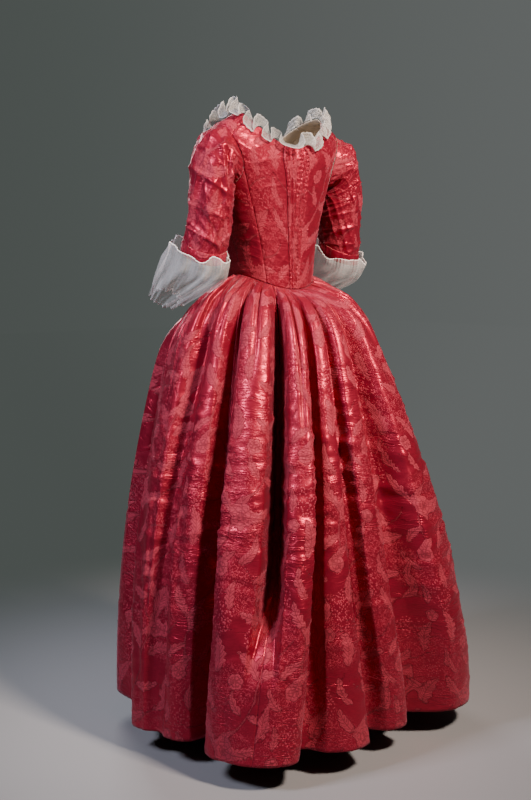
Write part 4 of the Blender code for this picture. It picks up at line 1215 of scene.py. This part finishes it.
def knife_pleats(pleat):
    """Profile across the small pleats: each face slopes towards the centre back and drops at its edge."""
    s = (pleat + 0.5) % 1.0
    facing = np.where(pleat < CENTRE_PLEAT, 1 - s, s)
    slit = np.minimum(s, 1 - s)
    return 0.55 - 0.75 * facing - 1.25 * bump(slit, 0.075)


def fold_places(times):
    """For each column: its row in the fold table and its share of the way to the next.

    Half the columns are even across the fold and half follow its depth, so its walls are as fine.
    """
    starts, shares = [], []
    fine = np.linspace(0, 1, 400)
    for start, row in enumerate(FOLDS[:-1]):
        count = row[2] * times
        toward = fine if row[0] != "valley" else 1 - fine
        depth = into_valley(toward, *FOLD_SHAPE[1])
        walked = fine + np.cumsum(np.abs(np.gradient(depth)))
        starts.append(np.full(count, start))
        shares.append(np.interp(np.arange(count) / count * walked[-1], walked - walked[0], fine))
    return (np.concatenate(starts + [[len(FOLDS) - 2]]), np.concatenate(shares + [[1.0]]))


# Creases across the skirt: pleat number, height over the hem, half length in pleats, depth in mm, lean
SKIRT_CREASES = (
    (8.3, 0.62, 0.55, 2.2, 0.010), (8.6, 0.55, 0.45, 2.6, -0.008), (8.2, 0.47, 0.60, 3.0, 0.012),
    (8.8, 0.43, 0.40, 2.2, 0.006), (8.5, 0.36, 0.55, 2.4, -0.010), (8.1, 0.29, 0.40, 2.0, 0.008),
    (8.7, 0.22, 0.45, 2.0, 0.010), (10.3, 0.66, 0.45, 2.2, -0.008), (10.6, 0.59, 0.55, 2.8, 0.010),
    (10.2, 0.53, 0.50, 3.2, 0.006), (10.7, 0.49, 0.40, 2.4, -0.008), (10.4, 0.42, 0.55, 3.0, 0.010),
    (10.8, 0.37, 0.35, 2.2, 0.004), (10.3, 0.31, 0.50, 2.4, -0.010), (10.6, 0.24, 0.45, 2.0, 0.008),
    (10.2, 0.17, 0.40, 1.8, -0.006), (12.0, 0.56, 0.35, 2.4, 0.008), (11.9, 0.48, 0.30, 2.8, -0.006),
    (12.1, 0.40, 0.35, 2.6, 0.008), (12.0, 0.32, 0.35, 2.4, 0.010), (11.9, 0.24, 0.30, 2.0, -0.008),
    (12.1, 0.15, 0.35, 1.8, 0.006), (13.0, 0.60, 0.30, 2.2, 0.006), (13.1, 0.50, 0.32, 2.6, -0.008),
    (12.9, 0.41, 0.30, 2.4, 0.008), (13.0, 0.30, 0.30, 2.2, -0.006), (13.1, 0.20, 0.30, 1.8, 0.008),
    (14.3, 0.64, 0.50, 2.4, 0.010), (14.7, 0.57, 0.45, 2.6, -0.008), (14.2, 0.50, 0.55, 3.0, 0.008),
    (14.6, 0.43, 0.45, 2.6, 0.010), (14.3, 0.36, 0.50, 2.4, -0.010), (14.7, 0.28, 0.45, 2.2, 0.006),
    (14.4, 0.19, 0.40, 1.8, -0.006), (16.4, 0.60, 0.50, 2.4, 0.008), (16.7, 0.50, 0.55, 2.8, -0.010),
    (16.3, 0.41, 0.50, 2.6, 0.008), (16.6, 0.30, 0.50, 2.2, 0.010), (16.5, 0.20, 0.40, 2.0, -0.006),
    (5.2, 0.60, 1.10, 2.4, 0.010), (4.4, 0.50, 0.90, 2.8, -0.008), (5.6, 0.42, 1.20, 2.6, 0.010),
    (4.8, 0.33, 0.90, 2.4, 0.006), (5.4, 0.24, 1.00, 2.0, -0.008), (2.6, 0.56, 0.90, 2.2, 0.008),
    (2.2, 0.40, 0.80, 2.4, -0.010), (3.0, 0.27, 0.90, 2.0, 0.008), (20.2, 0.58, 1.10, 2.4, -0.010),
    (19.4, 0.48, 0.90, 2.8, 0.008), (20.8, 0.40, 1.20, 2.4, 0.008), (20.0, 0.30, 1.00, 2.2, -0.008),
    (22.6, 0.54, 0.90, 2.2, 0.008), (23.0, 0.38, 0.80, 2.4, 0.010), (22.2, 0.25, 0.90, 2.0, -0.006),
)


def cross_creases(pleat, height, table):
    """Each crease is a trough with a smaller ridge under it, bowed down at its ends."""
    relief = np.zeros(height.shape)
    for at, level, long, depth, lean in table:
        p = (pleat - at) / long
        d = height - level - lean * p + 0.012 * p * p
        relief += depth / 1000 * bump(p, 1.0)[None, :] * (0.6 * bump(d + 0.012, 0.007) - bump(d, 0.006))
    return relief


def gown_grid(times):
    """The gown's skirt, and the pleat number of each of its columns.

    Angle and reach go from crest to valley by into_valley at three heights, and the walls overhang
    a little. The small pleats, the creases, the crumple and a slow drift are laid on that form.
    """
    start, share = fold_places(times)
    crest_first = np.array([FOLDS[s][0] != "valley" for s in start])
    toward = np.where(crest_first, share, 1 - share)

    def straight(place):
        """A column of FOLDS in a straight line from row to row."""
        values = column(FOLDS, place)
        return values[start] * (1 - share) + values[start + 1] * share

    def folded(place, *shape):
        """A column of FOLDS carried from crest to valley by into_valley, and its values."""
        values = column(FOLDS, place)
        valley = into_valley(toward, *shape)
        crest = np.where(crest_first, values[start], values[start + 1])
        low = np.where(crest_first, values[start + 1], values[start])
        return crest + (low - crest) * valley, values

    lean = np.where(crest_first, 1, -1) * np.sin(np.pi * share) * OVERHANG
    angles, reaches = [], []
    for k, (angle_place, reach_place) in enumerate(((4, 7), (5, 8), (6, 9))):
        reach, values = folded(reach_place, *FOLD_SHAPE[k])
        reaches.append(reach)
        angles.append(straight(angle_place)
                      + np.degrees(lean * np.abs(values[start + 1] - values[start]) / reach))
    pleat, waist_angle = straight(1), straight(3)
    waist = torso(waist_angle, np.zeros_like(waist_angle))
    waist[:, 2] -= 0.0004
    grid = soften_hip(skirt_rows(waist, angles, reaches, LOW_ROWS, YOKE_ROWS), LOW_ROWS)
    grid = merge_folds(grid, pleat)
    slit_lengths = np.interp(pleat - 0.5, np.arange(len(PLEAT_LENGTHS)), PLEAT_LENGTHS) * PLEAT_FADE
    below = np.clip((waist[:, 2] - grid[..., 2]) / slit_lengths, 0, 1)
    level = grid[..., 2] + SHOULDER
    relief = PLEAT_DEPTH * np.sin(np.pi * below ** 0.40) * knife_pleats(pleat)[None, :]
    relief += cross_creases(pleat, level, SKIRT_CREASES)
    round_way = 0.30 * np.radians(between_levels(level, hip_height(waist_angle)[None, :], *angles))
    rough = SKIRT_CRUMPLE * (0.35 + 0.65 * bump(level - 0.52, 0.26)) * np.clip((0.86 - level) / 0.1, 0, 1)
    relief += rough * crumple(round_way * 0.8, level, 0.62)
    drift = 2 * np.pi * (pleat[None, :] * 0.9 + 2.2 * grid[..., 2]) + np.sin(pleat * 3)[None, :]
    relief += SKIRT_DRIFT * np.sin(drift) * bump(level - 0.35, 0.3)
    return grid + normals(grid) * relief[..., None], pleat


def skirt_places(grid, pleat):
    """UV of the folds in metres: true to size round each crest at every height, v up from the hem."""
    round_way, up = lengths(grid, 1), lengths(grid, 0)
    uv = np.stack([round_way, up], axis=-1)
    kinds = [(row[1], row[0]) for row in FOLDS]
    valleys = [p for p, kind in kinds if kind != "crest"]
    for low, high in zip(valleys[:-1], valleys[1:]):
        crest = [p for p, kind in kinds if kind == "crest" and low < p < high][0]
        inside = (pleat >= low) & (pleat <= high)
        middle = int(np.argmin(np.abs(pleat - crest)))
        uv[:, inside, 0] = round_way[:, inside] - round_way[:, [middle]] + round_way[0, middle]
    return uv


gown, pleat = gown_grid(2 + FINE)
gown_uv = skirt_places(gown, pleat)
cuts = [0] + [int(np.argmin(np.abs(pleat - p))) for p in SEAM_PLEATS] + [len(pleat) - 1]
said = []
for name, first, last, offset in zip(PIECES, cuts[:-1], cuts[1:], (0.0, 0.05, 0.02, 0.09)):
    points, uv = gown[:, first:last + 1], gown_uv[:, first:last + 1] + np.array([offset, 0.06])
    piece = lay("silk_" + name, points, uv, name, [SILK, SILK, HEM])
    said.append(declare(piece, points))
print("skirt", said, "columns", len(pleat))

# %% [markdown]
# ## Petticoat
# The petticoat is a round skirt of the same silk. It shows where the gown's fronts part and, in the
# photograph, as the outer line at the left. Under the gown it lies close in its folds.

# %% Petticoat
SILK_WALL, GAP = 0.002, 0.0004     # wall of the gown's CAD solid, and the air under it
# Reaches at hip, mid and hem from the centre front (-90) to the centre back (90)
PETTICOAT = (
    (-90, 0.235, 0.286, 0.336),
    (-75, 0.252, 0.292, 0.343),
    (-60, 0.286, 0.328, 0.364),
    (-46, 0.276, 0.340, 0.386),
    (-33, 0.232, 0.288, 0.341),
    (-20, 0.212, 0.271, 0.312),
    (5, 0.180, 0.251, 0.295),
    (27, 0.165, 0.233, 0.281),
    (48, 0.145, 0.203, 0.284),
    (68, 0.155, 0.228, 0.271),
    (90, 0.162, 0.231, 0.259),
)
BREADTHS = ("petticoat_back", "petticoat_side_right", "petticoat_front", "petticoat_side_left")
SEAM_ANGLE = 45.0                  # where the first of them starts, at the left of the back
FRONT_LAP = 11.0                   # degrees past the gown's edges over which it still lies under them
EASE, COLLAR = 0.009, 0.006        # room left under the gown, and how far the top row stands up
BREADTH = 24 * FINE                # columns of one of them
FRONT_PLEATS, FRONT_PLEAT_DEPTH, FRONT_PLEAT_FADE = 20, 0.0038, 0.26
UNDER_LOW_ROWS, UNDER_YOKE_ROWS = 46 * FINE, 14 * FINE
# Creases of the front: angle, height over the hem, half length in degrees, depth in mm, lean
FRONT_CREASES = (
    (-90, 0.60, 10, 2.2, 0.008), (-72, 0.52, 9, 2.6, -0.008), (-58, 0.46, 8, 2.4, 0.010),
    (-46, 0.58, 7, 2.2, 0.006), (-48, 0.38, 8, 2.6, -0.008), (-80, 0.36, 10, 2.4, 0.010),
    (-60, 0.27, 8, 2.0, 0.008), (-92, 0.22, 10, 2.0, -0.006), (-104, 0.48, 9, 2.4, 0.008),
    (-118, 0.56, 8, 2.4, -0.008), (-132, 0.44, 8, 2.6, 0.008), (-124, 0.32, 8, 2.2, 0.010),
    (-134, 0.22, 7, 1.8, -0.006), (-106, 0.28, 9, 2.0, 0.006),
)


def polar(points):
    """Angle from the left side, -90 to 270 degrees, and distance from the skirt's axis."""
    across, back = points[..., 0], points[..., 1] - AXIS_Y[0]
    return (np.degrees(np.arctan2(back, across)) + 90) % 360 - 90, np.hypot(across, back)


def tuck_under(grid, over):
    """Draws each row in to stay under the gown's row at the same height."""
    rows, places = len(grid), np.linspace(0, len(over) - 1, len(grid))
    for i in range(rows - 1):
        angle, reach = polar(grid[i])
        over_angle, over_reach = polar(over[int(places[i])])
        order = np.argsort(over_angle)
        near = np.min([np.roll(over_reach[order], k) for k in range(-8, 9, 2)], axis=0)
        ease = SILK_WALL + GAP + EASE * min(1.0, (rows - 1 - i) / (0.2 * rows))
        knots = np.concatenate([[over_angle[order[0]] - FRONT_LAP], over_angle[order],
                                [over_angle[order[-1]] + FRONT_LAP]])
        limit = np.interp(angle, knots, np.concatenate([near[:1], near, near[-1:]]),
                          left=np.inf, right=np.inf) - ease
        share = np.minimum(1.0, limit / reach)
        grid[i, :, 0] *= share
        grid[i, :, 1] = AXIS_Y[0] + (grid[i, :, 1] - AXIS_Y[0]) * share
    return grid


def petticoat_grid(columns):
    """The petticoat through its reaches at three heights, drawn in to stay under the gown."""
    turn = SEAM_ANGLE + np.linspace(0, 360, columns + 1)
    half = np.degrees(np.arcsin(np.clip(np.sin(np.radians(turn)), -1, 1)))
    reaches = [smooth(column(PETTICOAT, 0), column(PETTICOAT, k), half) for k in (1, 2, 3)]
    level = np.zeros_like(turn)
    waist = torso(turn, level) - torso_normals(turn, level) * (SILK_WALL + 2 * GAP)
    rows = skirt_rows(waist, [turn, turn, turn], reaches, UNDER_LOW_ROWS, UNDER_YOKE_ROWS)
    grid = tuck_under(soften_hip(rows, UNDER_LOW_ROWS), gown)
    grid[-UNDER_YOKE_ROWS:, :, 2] -= EASE * np.linspace(0, 1, UNDER_YOKE_ROWS)[:, None]
    front = np.clip(-np.sin(np.radians(turn)) * 2 - 0.4, 0, 1)
    below = np.clip((waist[:, 2] - grid[..., 2]) / FRONT_PLEAT_FADE, 0, 1)
    wave = 2 * np.abs(np.cos(np.radians(turn) * FRONT_PLEATS)) ** 0.6 - 1
    pleats = FRONT_PLEAT_DEPTH * np.sin(np.pi * below ** 0.45) * wave
    facing = (turn + 90) % 360 - 180
    relief = cross_creases(facing, grid[..., 2] + SHOULDER, FRONT_CREASES)
    relief = (relief + pleats) * front[None, :]
    collar = grid[-1] + UP * (EASE + COLLAR)
    grid = grid + normals(grid) * relief[..., None]
    return np.concatenate([grid, collar[None]])


under = petticoat_grid(len(BREADTHS) * BREADTH)
under[:, -1] = under[:, 0]
under_uv = np.stack([lengths(under, 1), lengths(under, 0)], axis=-1)
said = []
for k, name in enumerate(BREADTHS):
    part, middle = slice(k * BREADTH, (k + 1) * BREADTH + 1), BREADTH // 2
    points, uv = under[:, part], under_uv[:, part].copy()
    uv[..., 0] -= uv[:, [middle], 0] - uv[0, middle, 0]
    piece = lay("silk_" + name, points, uv + np.array([0.13, 0.06]), name, [SILK, SILK, HEM])
    said.append(declare(piece, points))
print("petticoat", said)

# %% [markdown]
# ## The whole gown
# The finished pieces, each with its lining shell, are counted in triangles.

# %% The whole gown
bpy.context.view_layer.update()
graph = bpy.context.evaluated_depsgraph_get()
counts = {}
for name, piece in LAID.items():
    mesh = piece.evaluated_get(graph).to_mesh()
    mesh.calc_loop_triangles()
    counts[name] = len(mesh.loop_triangles)
print("triangles", sum(counts.values()), "most", max(counts.items(), key=lambda item: item[1]))
